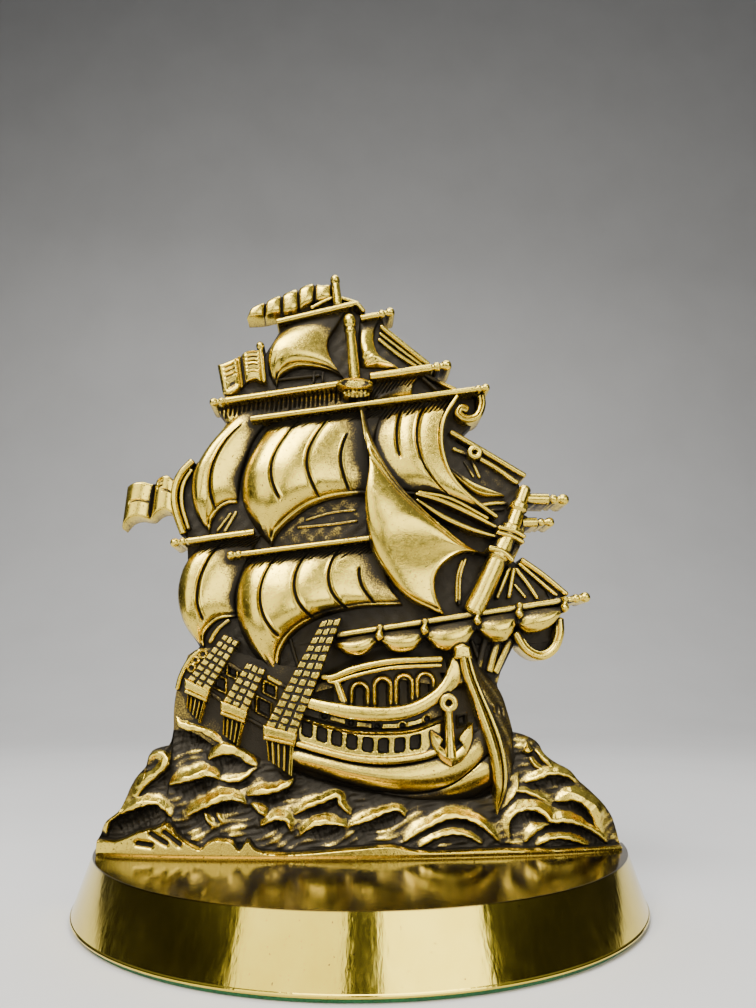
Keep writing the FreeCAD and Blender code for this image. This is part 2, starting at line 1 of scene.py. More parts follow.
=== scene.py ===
"""Looks of the brass galleon bookend: the cast relief, the polished base, the baize and the studio.

Places on the relief are in millimetres in the front view, (x, z), with z above the surface that the
object stands on. "depth" is the distance in front of the flat back. relief() makes metres of them.
On a patch, U runs from 0 at the left edge to 1 at the right, and W from 0 at the foot to 1 at the head.
"""
import itertools
import math
import bpy
import numpy as np
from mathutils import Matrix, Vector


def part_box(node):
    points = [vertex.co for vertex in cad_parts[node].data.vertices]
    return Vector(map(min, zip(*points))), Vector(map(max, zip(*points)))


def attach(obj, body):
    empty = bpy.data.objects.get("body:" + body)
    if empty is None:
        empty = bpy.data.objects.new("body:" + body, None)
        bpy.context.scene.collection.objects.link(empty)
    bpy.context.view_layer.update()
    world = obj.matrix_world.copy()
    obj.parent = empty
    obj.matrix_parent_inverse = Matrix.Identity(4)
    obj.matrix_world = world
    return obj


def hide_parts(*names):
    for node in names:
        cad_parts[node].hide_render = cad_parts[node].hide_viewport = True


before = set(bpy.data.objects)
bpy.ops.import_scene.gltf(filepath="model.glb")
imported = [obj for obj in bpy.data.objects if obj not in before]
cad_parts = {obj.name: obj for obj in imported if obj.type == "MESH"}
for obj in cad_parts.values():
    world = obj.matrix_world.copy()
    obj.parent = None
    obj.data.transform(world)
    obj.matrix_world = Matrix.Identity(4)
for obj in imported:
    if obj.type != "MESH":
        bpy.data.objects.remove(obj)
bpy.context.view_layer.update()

MM = 0.001
BASE_LOW, BASE_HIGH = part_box("base_plinth")
FELT_LOW, FELT_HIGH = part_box("baize_pad")
BACK = BASE_HIGH.y / MM            # the flat back of base and casting
BASE_TOP = BASE_HIGH.z / MM
RIM_RADIUS = 59.3                  # the base's upper rim
CHORD_OFFSET = 8.3                 # the saw cut, in front of the centre that the base was turned about
ROOT = 0.4                         # where relief starts, just in front of the back
LAYER = 0.0015                     # each piece starts this much further in, so no two share a plane
BACK_FACE, BACK_WEAR = 0.6, 0.62   # what is less deep than this belongs to the back, worn this much
GROUND_DEPTH = 5.0
FOOT_L, FOOT_R = -56.0, 55.5
FOOT_DEPTH_MID, FOOT_DEPTH_END = 14.6, 8.2

rng = np.random.default_rng(7)
casting = []                       # every piece of the casting, for the patina
layers = itertools.count()


# ---- small numeric helpers ----
def smooth(a, b, x):
    """0 on a's side, 1 on b's side, a smooth step between."""
    t = np.clip((x - a) / (b - a), 0, 1)
    return t * t * (3 - 2 * t)


def bell(d, width):
    return np.exp(-(d / width) ** 2)


def arch(x, power=1.0):
    """Half a sine wave: 0 at 0 and at 1, 1 in the middle."""
    return np.sin(math.pi * np.clip(x, 0, 1)) ** power


def spline(points, t):
    """Places at fractions t of the length of a smooth curve through the points."""
    p = np.array(points, float)
    if len(p) > 2:
        q = np.vstack([2 * p[0] - p[1], p, 2 * p[-1] - p[-2]])
        s = np.linspace(0, 1, 20, endpoint=False)[:, None]
        runs = []
        for a, b, c, d in zip(q, q[1:], q[2:], q[3:]):
            cubic = 2 * b + (c - a) * s + (2 * a - 5 * b + 4 * c - d) * s ** 2
            runs.append(0.5 * (cubic + (3 * b - a - 3 * c + d) * s ** 3))
        p = np.vstack(runs + [p[-1:]])
    gaps = np.linalg.norm(np.diff(p, axis=0), axis=1)
    along = np.concatenate([[0], np.cumsum(gaps)]) / gaps.sum()
    return np.stack([np.interp(t, along, column) for column in p.T], 1)


def length_of(points):
    line = spline(points, np.linspace(0, 1, 80))
    return np.linalg.norm(np.diff(line, axis=0), axis=1).sum()


def height_at(curve, x):
    """z of a curve that runs left to right, at each x."""
    line = spline(curve, np.linspace(0, 1, 160))
    order = np.argsort(line[:, 0])
    return np.interp(x, line[order, 0], line[order, 1])


def steps(size, cell, *extra):
    """Fractions 0 to 1 about a cell apart, with extra ones where fine lines run."""
    even = np.linspace(0, 1, max(int(size / cell), 3) + 1)
    return np.unique(np.clip(np.concatenate([even, *extra]), 0, 1))


def patch(u, v, left, right, foot=None, head=None):
    """Places on a four-sided patch between its edge curves, with U and W at each.

    A foot or head that isn't given is straight."""
    foot, head = foot or [left[0], right[0]], head or [left[-1], right[-1]]
    L, R, F, H = spline(left, v), spline(right, v), spline(foot, u), spline(head, u)
    U, W = np.meshgrid(u, v)
    a, b = U[..., None], W[..., None]
    ruled = (1 - a) * L[:, None] + a * R[:, None]
    lofted = (1 - b) * F + b * H
    corners = (1 - a) * (1 - b) * L[0] + a * (1 - b) * R[0] + (1 - a) * b * L[-1] + a * b * R[-1]
    return ruled + lofted - corners, U, W


def margin(U, W, wide, tall):
    """Distance to the nearest edge of a patch."""
    return np.minimum(np.minimum(U, 1 - U) * wide, np.minimum(W, 1 - W) * tall)


def round_edge(s, r):
    """How far a surface falls at distance s from its edge, for an edge of radius r."""
    t = np.clip(1 - s / r, 0, 1)
    return r * (1 - np.sqrt(1 - t * t))


# ---- meshes ----
def mesh_object(name, verts, faces, sharp=50):
    mesh = bpy.data.meshes.new(name)
    mesh.from_pydata(verts, [], faces)
    mesh.validate()
    mesh.shade_smooth()
    mesh.set_sharp_from_angle(angle=math.radians(sharp))
    obj = bpy.data.objects.new(name, mesh)
    bpy.context.scene.collection.objects.link(obj)
    return obj


def put(obj, name, values):
    """Stores one number per vertex."""
    attribute = obj.data.attributes.new(name, "FLOAT", "POINT")
    attribute.data.foreach_set("value", np.asarray(values, np.float32))


def read(obj, name):
    """One number per vertex, or the vertices' places in millimetres for "co"."""
    if name != "co":
        values = np.zeros(len(obj.data.vertices), np.float32)
        obj.data.attributes[name].data.foreach_get("value", values)
        return values
    places = np.zeros(3 * len(obj.data.vertices))
    obj.data.vertices.foreach_get("co", places)
    return places.reshape(-1, 3) / MM


def quads(index):
    """Faces between the neighbouring rows and columns of numbered corners."""
    return np.stack([index[:-1, :-1], index[:-1, 1:], index[1:, 1:], index[1:, :-1]], -1).reshape(-1, 4)


def facing(place):
    """True if the grid's faces already look forwards."""
    a = place[1:, :-1] - place[:-1, :-1]
    b = place[:-1, 1:] - place[:-1, :-1]
    return (b[..., 0] * a[..., 1] - b[..., 1] * a[..., 0]).sum() > 0


def relief(place, depth, stain_and_shade=0.0, name="part", root=ROOT, loop=False, ruled=False):
    """A closed piece of relief: a front, straight walls back to the root, and a flat back.

    The third argument is how much darker each place is painted, on top of what its depth decides:
    the stain the wheel left, and in places painted shade. ruled is for grids whose rows are straight,
    so that the back needs only one face to a row."""
    depth, stain_and_shade = (np.broadcast_to(value, place.shape[:-1]) for value in (depth, stain_and_shade))
    if not facing(place):
        place, depth, stain_and_shade = place[::-1], depth[::-1], stain_and_shade[::-1]
    rows, columns = depth.shape
    front = np.stack([place[..., 0], BACK - depth, place[..., 1]], -1).reshape(-1, 3) * MM
    rear = front.copy()
    rear[:, 1] = (BACK - root - LAYER * next(layers)) * MM
    index = np.arange(depth.size).reshape(rows, columns)
    behind = index + depth.size
    edges = [index[0], index[-1, ::-1]]
    if loop:
        edges = [np.append(edge, edge[0]) for edge in edges]
    else:
        edges += [index[:, -1], index[::-1, 0]]
    faces = quads(np.hstack([index, index[:, :1]]) if loop else index)
    flat = (faces[:, ::-1] + depth.size).tolist()
    walls = [np.stack([e[1:], e[:-1], e[:-1] + depth.size, e[1:] + depth.size], 1) for e in edges]
    keep = np.ones(2 * depth.size, bool)
    if ruled:
        keep[behind[1:-1, 1:-1].ravel()] = False
        flat = [[low[0], high[0], high[-1], low[-1]] for low, high in zip(behind[1:-2], behind[2:-1])]
        flat.append([behind[1, 0], behind[1, -1], *behind[0, ::-1]])
        flat.append([behind[-2, -1], behind[-2, 0], *behind[-1]])
    number = np.cumsum(keep) - 1
    faces = number[np.vstack([faces] + walls)].tolist() + [number[face].tolist() for face in flat]
    obj = mesh_object(name, np.vstack([front, rear])[keep].tolist(), faces)
    put(obj, "stain_and_shade", np.tile(stain_and_shade.ravel(), 2)[keep])
    casting.append(obj)


def ridge(points, radius, depth, ends=0.5, cell=0.3, groove=None, arc=13):
    """A half-round bar along a curve, with straight walls behind: a cast spar or rope.

    radius is a number, a function of the distance along, or lists of distances and radii. groove is
    (place across from -1 to 1, width, depth)."""
    total = length_of(points)
    close = np.array([0, 0.03, 0.1, 0.25, 0.45, 0.7, 1.0]) * max(ends, 0.05) / total
    t = steps(total, cell, close, 1 - close)
    line = spline(points, t)
    tangent = np.gradient(line, axis=0)
    tangent /= np.linalg.norm(tangent, axis=1)[:, None]
    across = np.stack([-tangent[:, 1], tangent[:, 0]], 1)
    s = t * total
    if isinstance(radius, tuple):
        r = np.interp(s, *radius)
    else:
        r = radius(s) if callable(radius) else np.full(len(s), radius)
    near = np.clip(np.minimum(s, total - s) / ends, 0, 1)
    r = (r * np.maximum(np.sqrt(1 - (1 - near) ** 2), 0.06))[:, None]
    phi = np.linspace(-math.pi / 2, math.pi / 2, arc)
    place = line[:, None] + across[:, None] * (r * np.sin(phi))[..., None]
    front = depth + r * np.cos(phi)
    if groove:
        where, wide, deep = groove
        front -= deep * bell(np.sin(phi) - where, wide) * np.minimum(1, r / r.max())
    relief(place, front)


def bars(table, arc=13):
    """Ridges from a table of points, radius and depth."""
    for points, radius, depth in table:
        ridge(points, radius, depth, arc=arc)


def group(name, maker, *args):
    """Runs a maker and joins every closed piece that it adds to the casting into one object."""
    start = len(casting)
    maker(*args)
    parts = casting[start:]
    del casting[start:]
    verts = np.vstack([read(part, "co") * MM for part in parts])
    stain_and_shade = np.concatenate([read(part, "stain_and_shade") for part in parts])
    faces, offset = [], 0
    for part in parts:
        mesh = part.data
        faces += [[i + offset for i in face.vertices] for face in mesh.polygons]
        offset += len(mesh.vertices)
        bpy.data.objects.remove(part)
        bpy.data.meshes.remove(mesh)
    whole = mesh_object(name, verts.tolist(), faces)
    put(whole, "stain_and_shade", stain_and_shade)
    casting.append(whole)


# ---- sails ----
def sail(name, left, right, foot, head, seams, edge, crest, dulling_and_head_shade, fall=0.8, strokes=2.2, rim=True,
         belly=(0.11, 0.12)):
    """A wind-filled sail: crowned towards its lower left, with seams, a hemmed foot and gathers."""
    fine = np.array([-0.75, -0.55, -0.4, -0.28, -0.14, 0, 0.14, 0.28, 0.4]) / 30
    u = steps(length_of(head), 0.19, *[seam[0] + fine for seam in seams])
    long = length_of(left)
    near_head = 1 - np.arange(0.2, 5.2, 0.2) / long if strokes else []
    v = steps(long, 0.3, near_head, np.arange(0.15, 2.4, 0.2) / long)
    place, U, W = patch(u, v, left, right, foot, head)
    wide = np.linalg.norm(place[:, -1] - place[:, 0], axis=1)[:, None]
    tall = np.linalg.norm(place[-1] - place[0], axis=1)[None]
    full = (1 - np.exp(-U / belly[0])) * (1 - fall * U ** 2.2)
    full *= (1 - np.exp(-W / belly[1])) * (1 - 0.8 * W ** 1.7)
    s_left, s_foot = U * wide, W * tall
    depth = edge + (crest - edge) * full / full.max()
    depth -= round_edge(np.minimum(s_left, s_foot), 1.3) + round_edge((1 - U) * wide, 0.6)
    if rim:
        depth += 0.3 * bell(s_foot - 0.5, 0.3) - 0.38 * bell(s_foot - 1.15, 0.25)
    corner = np.hypot(s_left, s_foot)
    crease = np.cos(np.arctan2(s_foot + 0.4, s_left + 0.4) * 17)
    depth += 0.16 * crease * smooth(9, 2, corner) * smooth(0.8, 2, corner)
    # Darker towards the right side (dulling) and towards the head: painted shade under the yard.
    stain_and_shade = dulling_and_head_shade[0] * smooth(0.42, 1.0, U) + dulling_and_head_shade[1] * smooth(0.5, 1.0, W)
    stain_and_shade += 0.3 * smooth(1.6, 0.2, s_left) - 0.35 * smooth(1.6, 0.6, s_foot)
    for where, low, high in seams:
        d = (U - where) * wide
        window = smooth(low - 0.02, low + 0.04, W) * smooth(high + 0.02, high - 0.05, W)
        piping = 0.22 * (bell(d + 0.55, 0.2) + bell(d - 0.5, 0.2))
        depth += (piping - 0.6 * bell(d, 0.26) - 0.14 * bell(d, 1.7)) * window
        stain_and_shade += 0.6 * bell(d, 0.22) * window
    if strokes:
        gathered = gathers(s_left, (1 - W) * tall, strokes)
        depth -= 0.6 * gathered
        stain_and_shade += 0.8 * gathered
    relief(place, depth, stain_and_shade, name)


def gathers(across, below, reach):
    """Short slanting creases in the cloth just under its yard."""
    pitch = 1.12
    phase = (across + 0.7 * below) / pitch
    number = np.floor(phase).astype(int)
    spare = rng.random(400)
    length = 1.0 + reach + 1.3 * spare[number % len(spare)]
    stroke = bell((phase - number - 0.5) * pitch, 0.25)
    return stroke * smooth(0.2, 0.6, below) * smooth(length, length - 1.1, below)


def sails():
    """Each has its outline, seams (place across, start, end), least and greatest depth, and how much darker
    its right side (dulling) and its head (painted shade under the yard) are painted.
    """
    sail("mizzen_course",
         [(-35.6, 53.6), (-38.9, 57), (-41.5, 61), (-42.9, 66.5), (-42.3, 72), (-40.3, 76), (-38.4, 78.9)],
         [(-29, 61.2), (-29.6, 66), (-28, 72), (-26, 77), (-24, 80.4)],
         [(-35.6, 53.6), (-36, 56.3), (-35, 58.8), (-32.8, 60.6), (-29, 61.2)],
         [(-38.4, 78.9), (-24, 80.8)], [(0.44, 0.10, 0.96)], 5.6, 9.4, (0.1, 0.2))
    sail("mizzen_topsail",
         [(-36.1, 80.4), (-39.3, 84.5), (-41, 89.5), (-41, 94.5), (-39.4, 99), (-36.6, 103.8),
          (-31.4, 110.4)],
         [(-30, 88), (-29.4, 95), (-27, 103), (-24, 108), (-22.3, 111.6)],
         [(-36.1, 80.4), (-35.7, 83.4), (-34.4, 86), (-32.4, 87.6), (-30, 88)],
         [(-31.4, 110.4), (-22.3, 112)], [(0.5, 0.04, 0.84)], 5.6, 9.6, (0.1, 0.2), strokes=0)
    sail("main_course",
         [(-17.8, 47), (-22.6, 50.5), (-26.6, 55.5), (-29, 61), (-29.7, 66.5), (-28.8, 71.8), (-26.6, 76.2)],
         [(9, 64.2), (5.6, 69), (5, 74), (7, 80)],
         [(-17.8, 47), (-18.9, 50.6), (-18.4, 54), (-16, 57.6), (-12, 60.4), (-7, 62.3), (0, 63.7),
          (9, 64.2)],
         [(-26.6, 76.2), (7, 80.4)],
         [(0.245, 0.09, 0.95), (0.46, 0.03, 0.96), (0.66, 0.02, 0.96), (0.84, 0.06, 0.6)],
         6.2, 11.2, (0.15, 0.0))
    sail("main_topsail",
         [(-21.4, 77.5), (-25.1, 81.5), (-28.4, 86.9), (-29.5, 92.3), (-28.5, 97.6), (-26, 103),
          (-22.7, 108.6)],
         [(3, 90), (1.6, 95), (1.2, 100), (2.6, 106), (5, 112.8)],
         [(-21.4, 77.5), (-20.8, 80), (-17.9, 83.4), (-13.1, 87.1), (-7.5, 89.3), (-1, 90.3), (3, 90)],
         [(-22.7, 108.8), (5, 113)], [(0.285, 0.17, 0.96), (0.55, 0.05, 0.96), (0.79, 0.06, 0.68)],
         6.2, 11.2, (0.4, 0.0))
    sail("topgallant_sail",
         [(-21.6, 116.6), (-23.8, 121), (-24.2, 125.3), (-22.7, 129.8), (-19.9, 134.3)],
         [(-5, 120.1), (-7.6, 123.2), (-9.2, 126.8), (-9.1, 130.4), (-7.2, 134), (-5.1, 138.4)],
         [(-21.6, 116.6), (-21, 119.5), (-17.7, 122.1), (-13.5, 122.6), (-8.8, 121.9), (-5, 120.1)],
         [(-19.9, 134.3), (-5.1, 138.4)], [], 5.4, 9, (0.3, 0.75), fall=0.5, strokes=0)
    sail("fore_topgallant_sail",
         [(-1.6, 122.9), (-2, 130), (-1.8, 136)],
         [(9.4, 122.6), (3.9, 125.8), (2.2, 129.4), (2.3, 133.2), (4.1, 137.2)],
         [(-1.6, 122.9), (4.4, 122.9), (9.4, 122.6)], [(-1.8, 136), (4.1, 137.2)],
         [], 5.2, 7.4, (0.1, 0.4), fall=0.3, strokes=0, rim=False)
    sail("fore_topsail",
         [(4, 90.6), (2, 96), (1.5, 103), (2.5, 113)],
         [(30.9, 84.5), (23.8, 90), (19.7, 95.4), (17.8, 102.4), (18.6, 109), (22.2, 115.4)],
         [(4, 90.6), (11.5, 90.3), (17, 89.9), (22, 88), (30.9, 84.5)],
         [(2.5, 113), (22.2, 115.6)], [(0.36, 0.42, 0.97), (0.66, 0.10, 0.96)],
         6, 9.6, (-0.3, 0.2), fall=0.05, belly=(0.3, 0.12))
    sail("mizzen_topgallant",
         [(-32.4, 107), (-34.6, 109.8), (-36.4, 112)], [(-3, 112.6), (-4.4, 115), (-5.4, 117.6)],
         [(-32.4, 107), (-27, 107.9), (-3, 112.6)], [(-36.4, 112), (-5.4, 117.7)],
         [], 5.8, 6.6, (-0.35, -0.4), fall=0.2, strokes=2.6, rim=False, belly=(0.03, 0.2))
    sail("fore_royal",
         [(1, 113.4), (0.8, 119)], [(11.6, 116), (12, 118.8), (14.6, 122)],
         [(1, 113.4), (11.6, 116)], [(0.8, 119), (14.6, 122)],
         [], 5.8, 6.6, (-0.35, -0.4), fall=0.2, strokes=2.6, rim=False, belly=(0.05, 0.2))
    staysail()


def staysail():
    """The big staysail in front of everything, roped along both long edges."""
    left = [(18.3, 61.7), (9.9, 65.8), (5, 71.1), (1.3, 77.8), (0.3, 85.6), (1.9, 93), (2, 98),
            (0.2, 104.2), (-1, 109.5), (-2.4, 114.4)]
    right = [(30.6, 75.9), (24.6, 77.9), (19.4, 81.9), (13.9, 86.6), (9, 91.6), (5.3, 96.8),
             (2.2, 102.6), (0.4, 108.4), (-0.7, 114)]
    foot = [(18.3, 61.7), (16.4, 66.3), (16.3, 70.6), (18.9, 74.2), (23.6, 76.5), (30.6, 75.4)]
    place, U, W = patch(steps(22, 0.22), steps(62, 0.28), left, right, foot)
    wide = np.linalg.norm(place[:, -1] - place[:, 0], axis=1)[:, None]
    s_left, s_right, s_foot = U * wide, (1 - U) * wide, W * 40
    swell = arch(U * 0.9 + 0.08, 0.8) * smooth(-0.04, 0.34, W) * smooth(1, 0.4, W)
    depth = 8.8 + 4.2 * swell - round_edge(np.minimum(s_foot, np.minimum(s_left, s_right)), 0.7)
    roping = 0.5 * (bell(s_left - 0.95, 0.25) + bell(s_right - 0.95, 0.25)) + 0.4 * bell(s_right - 1.9, 0.22)
    depth += 0.3 * bell(s_foot - 0.5, 0.3) - roping * np.minimum(1, wide / 5)
    stain_and_shade = 0.5 * smooth(0.55, 1.0, U) * smooth(0.15, 0.5, W) + 0.3 * smooth(0.62, 0.9, W)
    relief(place, depth, stain_and_shade, "staysail")


# ---- spars, masts, tops ----
KNOB = [(0, 0.1), (0.14, 0.55), (0.5, 0.9), (1.0, 1.0), (1.5, 0.88), (1.85, 0.6), (2.2, 0.55),
        (2.45, 0.86), (3.1, 0.86), (3.35, 0.56), (3.7, 0.52)]


def yard(a, b, depth, r, knob_a=0.0, knob_b=0.0):
    """A straight spar, with a ball and a collar turned on its free ends."""
    length = math.dist(a, b)

    def radius(s):
        out = np.full(len(s), r)
        for knob, distance in ((knob_a, s), (knob_b, length - s)):
            if knob:
                along, shape = np.array(KNOB).T * knob
                turned = np.maximum(np.interp(distance, along, shape), 0.05)
                out = np.where(distance < along[-1], turned, out)
        return out

    ridge([a, b], radius, depth, ends=0.25, cell=0.22, arc=17)


def yards():
    yard((-44.6, 78), (-25.5, 80.9), 8.3, 0.75, 1.05)
    yard((-31.4, 75), (1.4, 79.4), 9.8, 0.62, 0.95)
    yard((-27.4, 107.9), (30.2, 116.9), 9.6, 0.66, 0.0, 1.0)
    yard((-37.4, 112.2), (-4.5, 118), 8.4, 0.78, 1.05)
    yard((1, 119.7), (21.2, 123.2), 8.2, 0.95, 0.0, 1.35)
    yard((-22.2, 134.2), (-3, 139.6), 7.4, 0.7)
    yard((-1.4, 135.9), (7.3, 137.9), 7.0, 0.75, 0.0, 1.2)
    bars([([(-3.4, 139.5), (-2.2, 139.8), (-0.3, 137.6)], 0.55, 7.2),
          ([(-13.9, 138.8), (-7.8, 141.8), (-1.7, 140.4)], 0.45, 6.2)])


def masts():
    """The topgallant mast, its crosstrees, and the leaning fore spar with its bands."""
    ridge([(-2.6, 118.6), (-4.2, 136.4)], ([0, 12.6, 12.9, 13.5, 13.8, 14.3, 14.8, 16, 16.9, 17.9],
                                           [1.45, 1.1, 1.35, 1.35, 1.05, 1.1, 1.5, 1.6, 1.4, 0.8]),
          8.0, ends=0.8, cell=0.2)
    oval((-2.6, 117), 4.4, 1.45, 10, 0.4, rim=0.8)
    oval((-2.2, 114.9), 3.2, 1.3, 9.2, 0.9, flutes=0.25)
    ridge([(24.2, 61.8), (26.9, 66.9), (31.3, 76.1), (34.4, 82.4), (38.3, 92.6)],
          ([0, 14.4, 14.8, 16.4, 16.8, 21.6, 21.9, 23.1, 23.4, 27.2, 27.6, 29, 29.4, 33.6],
           [2.35, 2.2, 2.75, 2.75, 2.1, 1.95, 2.4, 2.4, 1.85, 1.65, 2.1, 2.1, 1.5, 1.45]),
          8.4, ends=1.2, cell=0.24, arc=19)
    bars([([(33.4, 74.4), (35.6, 78.4), (37.9, 85.6)], 0.95, 7.0),
          ([(28.2, 77.1), (31.4, 76.3), (34, 74)], 0.7, 10.6),
          ([(30.8, 82.1), (34.4, 81.2), (37.2, 79.7)], 0.5, 10.2),
          ([(30.4, 80.9), (34, 79.9), (36.8, 78.4)], 0.5, 10.2)])
    yard((37.6, 89.5), (48.6, 89.4), 7.6, 1.35, 0.0, 1.35)
    yard((37, 83.8), (44.9, 84), 7.2, 1.2, 0.0, 1.15)


def oval(centre, a, b, depth, dome, rim=0.0, flutes=0.0):
    """A small domed oval, with a raised rim or flutes if wanted."""
    t = np.linspace(0, 2 * math.pi, 49)[:, None]
    ring = np.array([0.04, 0.3, 0.5, 0.62, 0.72, 0.82, 0.9, 0.96, 1.0])
    x, z = centre[0] + a * np.cos(t) * ring, centre[1] + b * np.sin(t) * ring
    front = depth + dome * np.sqrt(np.maximum(1 - ring ** 2, 0)) + rim * bell(ring - 0.84, 0.1)
    relief(np.stack([x, z], -1), front + flutes * np.cos(x * 6))


def ring(centre, inner, outer, depth):
    """A ring with a rounded face."""
    t = np.linspace(0, 2 * math.pi, 40, endpoint=False)
    phi = np.linspace(-math.pi / 2, math.pi / 2, 11)[:, None]
    half = (outer - inner) / 2
    r = inner + half * (1 + np.sin(phi))
    place = np.stack([centre[0] + r * np.cos(t), centre[1] + r * np.sin(t)], -1)
    relief(place, depth + 0.55 * half * np.cos(phi), loop=True)


# ---- ropes ----
STAYS = [   # points, radius, depth
    ([(3.7, 134.4), (9.5, 129.4), (15.9, 124)], 0.62, 6.2),
    ([(3.5, 132.6), (8.6, 128.4), (14.4, 123.8)], 0.4, 5.8),
    ([(3.2, 131), (8, 127), (12.8, 123.6)], 0.5, 5.8),
    ([(20.6, 106.6), (29.2, 101.4), (38.8, 95.4)], 0.66, 6.4),
    ([(27.1, 100.3), (32.3, 97.1), (37, 93.6)], 0.6, 6.1),
    ([(21.2, 102.4), (25.4, 100.7)], 0.45, 5.9), ([(25.4, 100.7), (27.8, 95)], 0.38, 5.6),
    ([(24, 99.4), (26.4, 95.2)], 0.3, 5.4), ([(27.6, 88.2), (31, 88.8), (34.4, 88.8)], 0.5, 5.8),
    ([(28.6, 87), (33.6, 87.4)], 0.35, 5.5), ([(12.4, 90.7), (20, 89.2), (29, 84.4)], 0.35, 8.6),
    ([(36.6, 75.3), (41.6, 71.7), (47.3, 66.8)], 0.62, 6.4),
    ([(36.1, 74.4), (40.4, 70.6), (45.2, 66.4)], 0.45, 6.1),
    ([(35.4, 73.2), (38.2, 69.4), (40.4, 65.9)], 0.5, 5.9), ([(35, 69.4), (37.6, 66.2)], 0.35, 5.8),
    ([(14.6, 121.4), (18, 119.6), (22.6, 117.4)], 0.45, 6.4), ([(14, 120.8), (17.8, 117.2)], 0.42, 6.2),
    ([(23.7, 75.4), (22.3, 71.1), (21.9, 64.4)], 0.35, 6.4),
    ([(22.9, 75), (21.6, 71), (21.2, 65)], 0.3, 6.3),
    ([(-16, 82.6), (-8, 83.4), (-1.6, 84.4)], 0.3, 5.2), ([(-14, 84.4), (-8, 86.2), (-2, 87)], 0.3, 5.2),
    ([(-34.8, 81.2), (-31.5, 86)], 0.3, 5.4), ([(-33, 81), (-30.2, 86.4)], 0.4, 5.4),
    ([(34, 73.6), (30.6, 65.8)], 0.5, 6.4), ([(35, 73.2), (33.4, 66)], 0.5, 6.4),
    ([(24.5, 56.6), (26.6, 50.6)], 0.5, 5.8), ([(28, 57.4), (25.8, 50)], 0.75, 6.2),
    ([(30.9, 57.8), (28.2, 49.2)], 0.85, 6.2), ([(33.6, 57), (29.6, 49)], 0.75, 6.0),
    ([(-12.9, 45.6), (-15.4, 52), (-17, 57)], 0.4, 5.6),
    ([(-30.6, 61), (-33.4, 58.6), (-35, 55.6)], 0.5, 5.8), ([(-23, 119.4), (-11, 121)], 0.35, 5.6),
    ([(-12.6, 122), (-12.8, 118.8)], 0.3, 5.8), ([(-10.4, 122), (-10.6, 119)], 0.3, 5.8),
]


def spindle(total):
    """Radius of a rope that swells between its ends."""
    return lambda s: 0.25 + 0.35 * arch(s / total)


LEECH_ROPES = [
    ([(-40.8, 98.4), (-43.7, 94.8), (-44.9, 90.4), (-44.2, 86), (-42, 80.4)], 0.85, 6.6),
    ([(31, 84.6), (24, 90.1), (20, 95.4), (18.2, 102.4), (19, 109), (22.4, 115)], 0.45, 9.3),
    ([(-41, 96.4), (-42.9, 92.4), (-42.9, 87.6), (-40.9, 81.6)], 0.5, 6.2),
    ([(11.8, 90.3), (18, 88.6), (25, 85.4), (32.4, 81.5)], spindle(22.5), 8.6),
    ([(12, 88.9), (18, 84.9), (24.5, 81.9), (31.4, 79.9)], spindle(21.5), 8.8),
]


def bights():
    """Two loops of heavy rope, the web behind one of them, and a block with its eye."""
    ridge([(44.8, 61.6), (44.6, 57.6), (42.9, 54.3), (39.9, 52.9), (36.7, 54.5), (34.4, 58.4)],
          1.05, 7.2, groove=(-0.6, 0.2, 0.35))
    ridge([(28.2, 116.4), (28.5, 113.2), (27.2, 110.2), (24.6, 109.5), (22.7, 110.8), (23.4, 112.3),
           (25.2, 111.7)], 1.0, 7.4, groove=(0.0, 0.18, 0.5))
    oval((39.8, 57.4), 4.6, 4.1, GROUND_DEPTH - 0.2, 0.1)
    ring((26.4, 101), 0.6, 1.75, 7.8)
    oval((26.4, 101), 0.65, 0.65, 5.8, 0.1)


def ropes():
    group("stays_a", bars, STAYS[:18], 9)
    group("stays_b", bars, STAYS[18:], 9)
    group("leech_ropes", bars, LEECH_ROPES)
    group("bights", bights)
    place, _, W = patch(steps(15, 0.25), steps(3, 0.15), [(20.8, 95.8), (20.3, 98.2)],
                        [(33.4, 90.3), (33.4, 90.9)], [(20.8, 95.8), (26.8, 90.9), (33.4, 90.3)],
                        [(20.3, 98.2), (25.8, 94), (33.4, 90.9)])
    relief(place, 5.8 + 1.1 * bell(W - 0.25, 0.28), name="jib")


def furled_sail():
    """The fore yard with its canvas gathered in five swags between ties."""
    yard((-6.4, 57.3), (51.8, 66.2), 8.8, 0.72, 0.0, 1.2)
    top = [(-6.6, 56.1), (2.7, 57.8), (13.2, 58.9), (25.2, 61.1), (34.9, 62.7), (45.6, 64)]
    low = [[(-6.6, 54.8), (-3.8, 53), (-0.2, 53), (3.2, 56)],
           [(3.4, 56), (6.6, 53.6), (10.8, 54), (13.4, 56.8)],
           [(13.6, 56.8), (17, 54), (21.6, 54.4), (25.2, 58.4)],
           [(25.4, 58.4), (28.4, 56.2), (32, 56.4), (34.4, 59.6)],
           [(34.6, 59.6), (37.3, 57.9), (41.6, 59), (45.4, 62.6)]]
    for a, b, foot in zip(top, top[1:], low):
        place, U, W = patch(steps(b[0] - a[0], 0.18), steps(4, 0.16), [foot[0], a], [foot[-1], b], foot)
        off = np.abs(U - 0.5)
        full = arch(np.clip(U, 0.03, 0.97), 0.22) * arch(W * 0.72 + 0.16, 0.5)
        pleats = 0.18 * np.cos(W * 14 + 9 * off) * smooth(0.22, 0.5, off)
        # Each swag is painted darker towards its top: painted shade under the yard.
        relief(place, 6.8 + 4.2 * full + pleats - round_edge(W * 3.6, 0.7), 0.8 * smooth(0.45, 0.85, W) - 0.1)
    for x, z in ((3.3, 58.6), (13.4, 59.9), (25.4, 62), (35, 63.6), (45.5, 65)):
        ridge([(x + 0.1, z + 1.1), (x, z - 0.6), (x - 0.2, z - 2.6)],
              lambda s: 0.7 + 0.25 * np.cos(s * 2.4), 10.2, ends=0.8, cell=0.2)


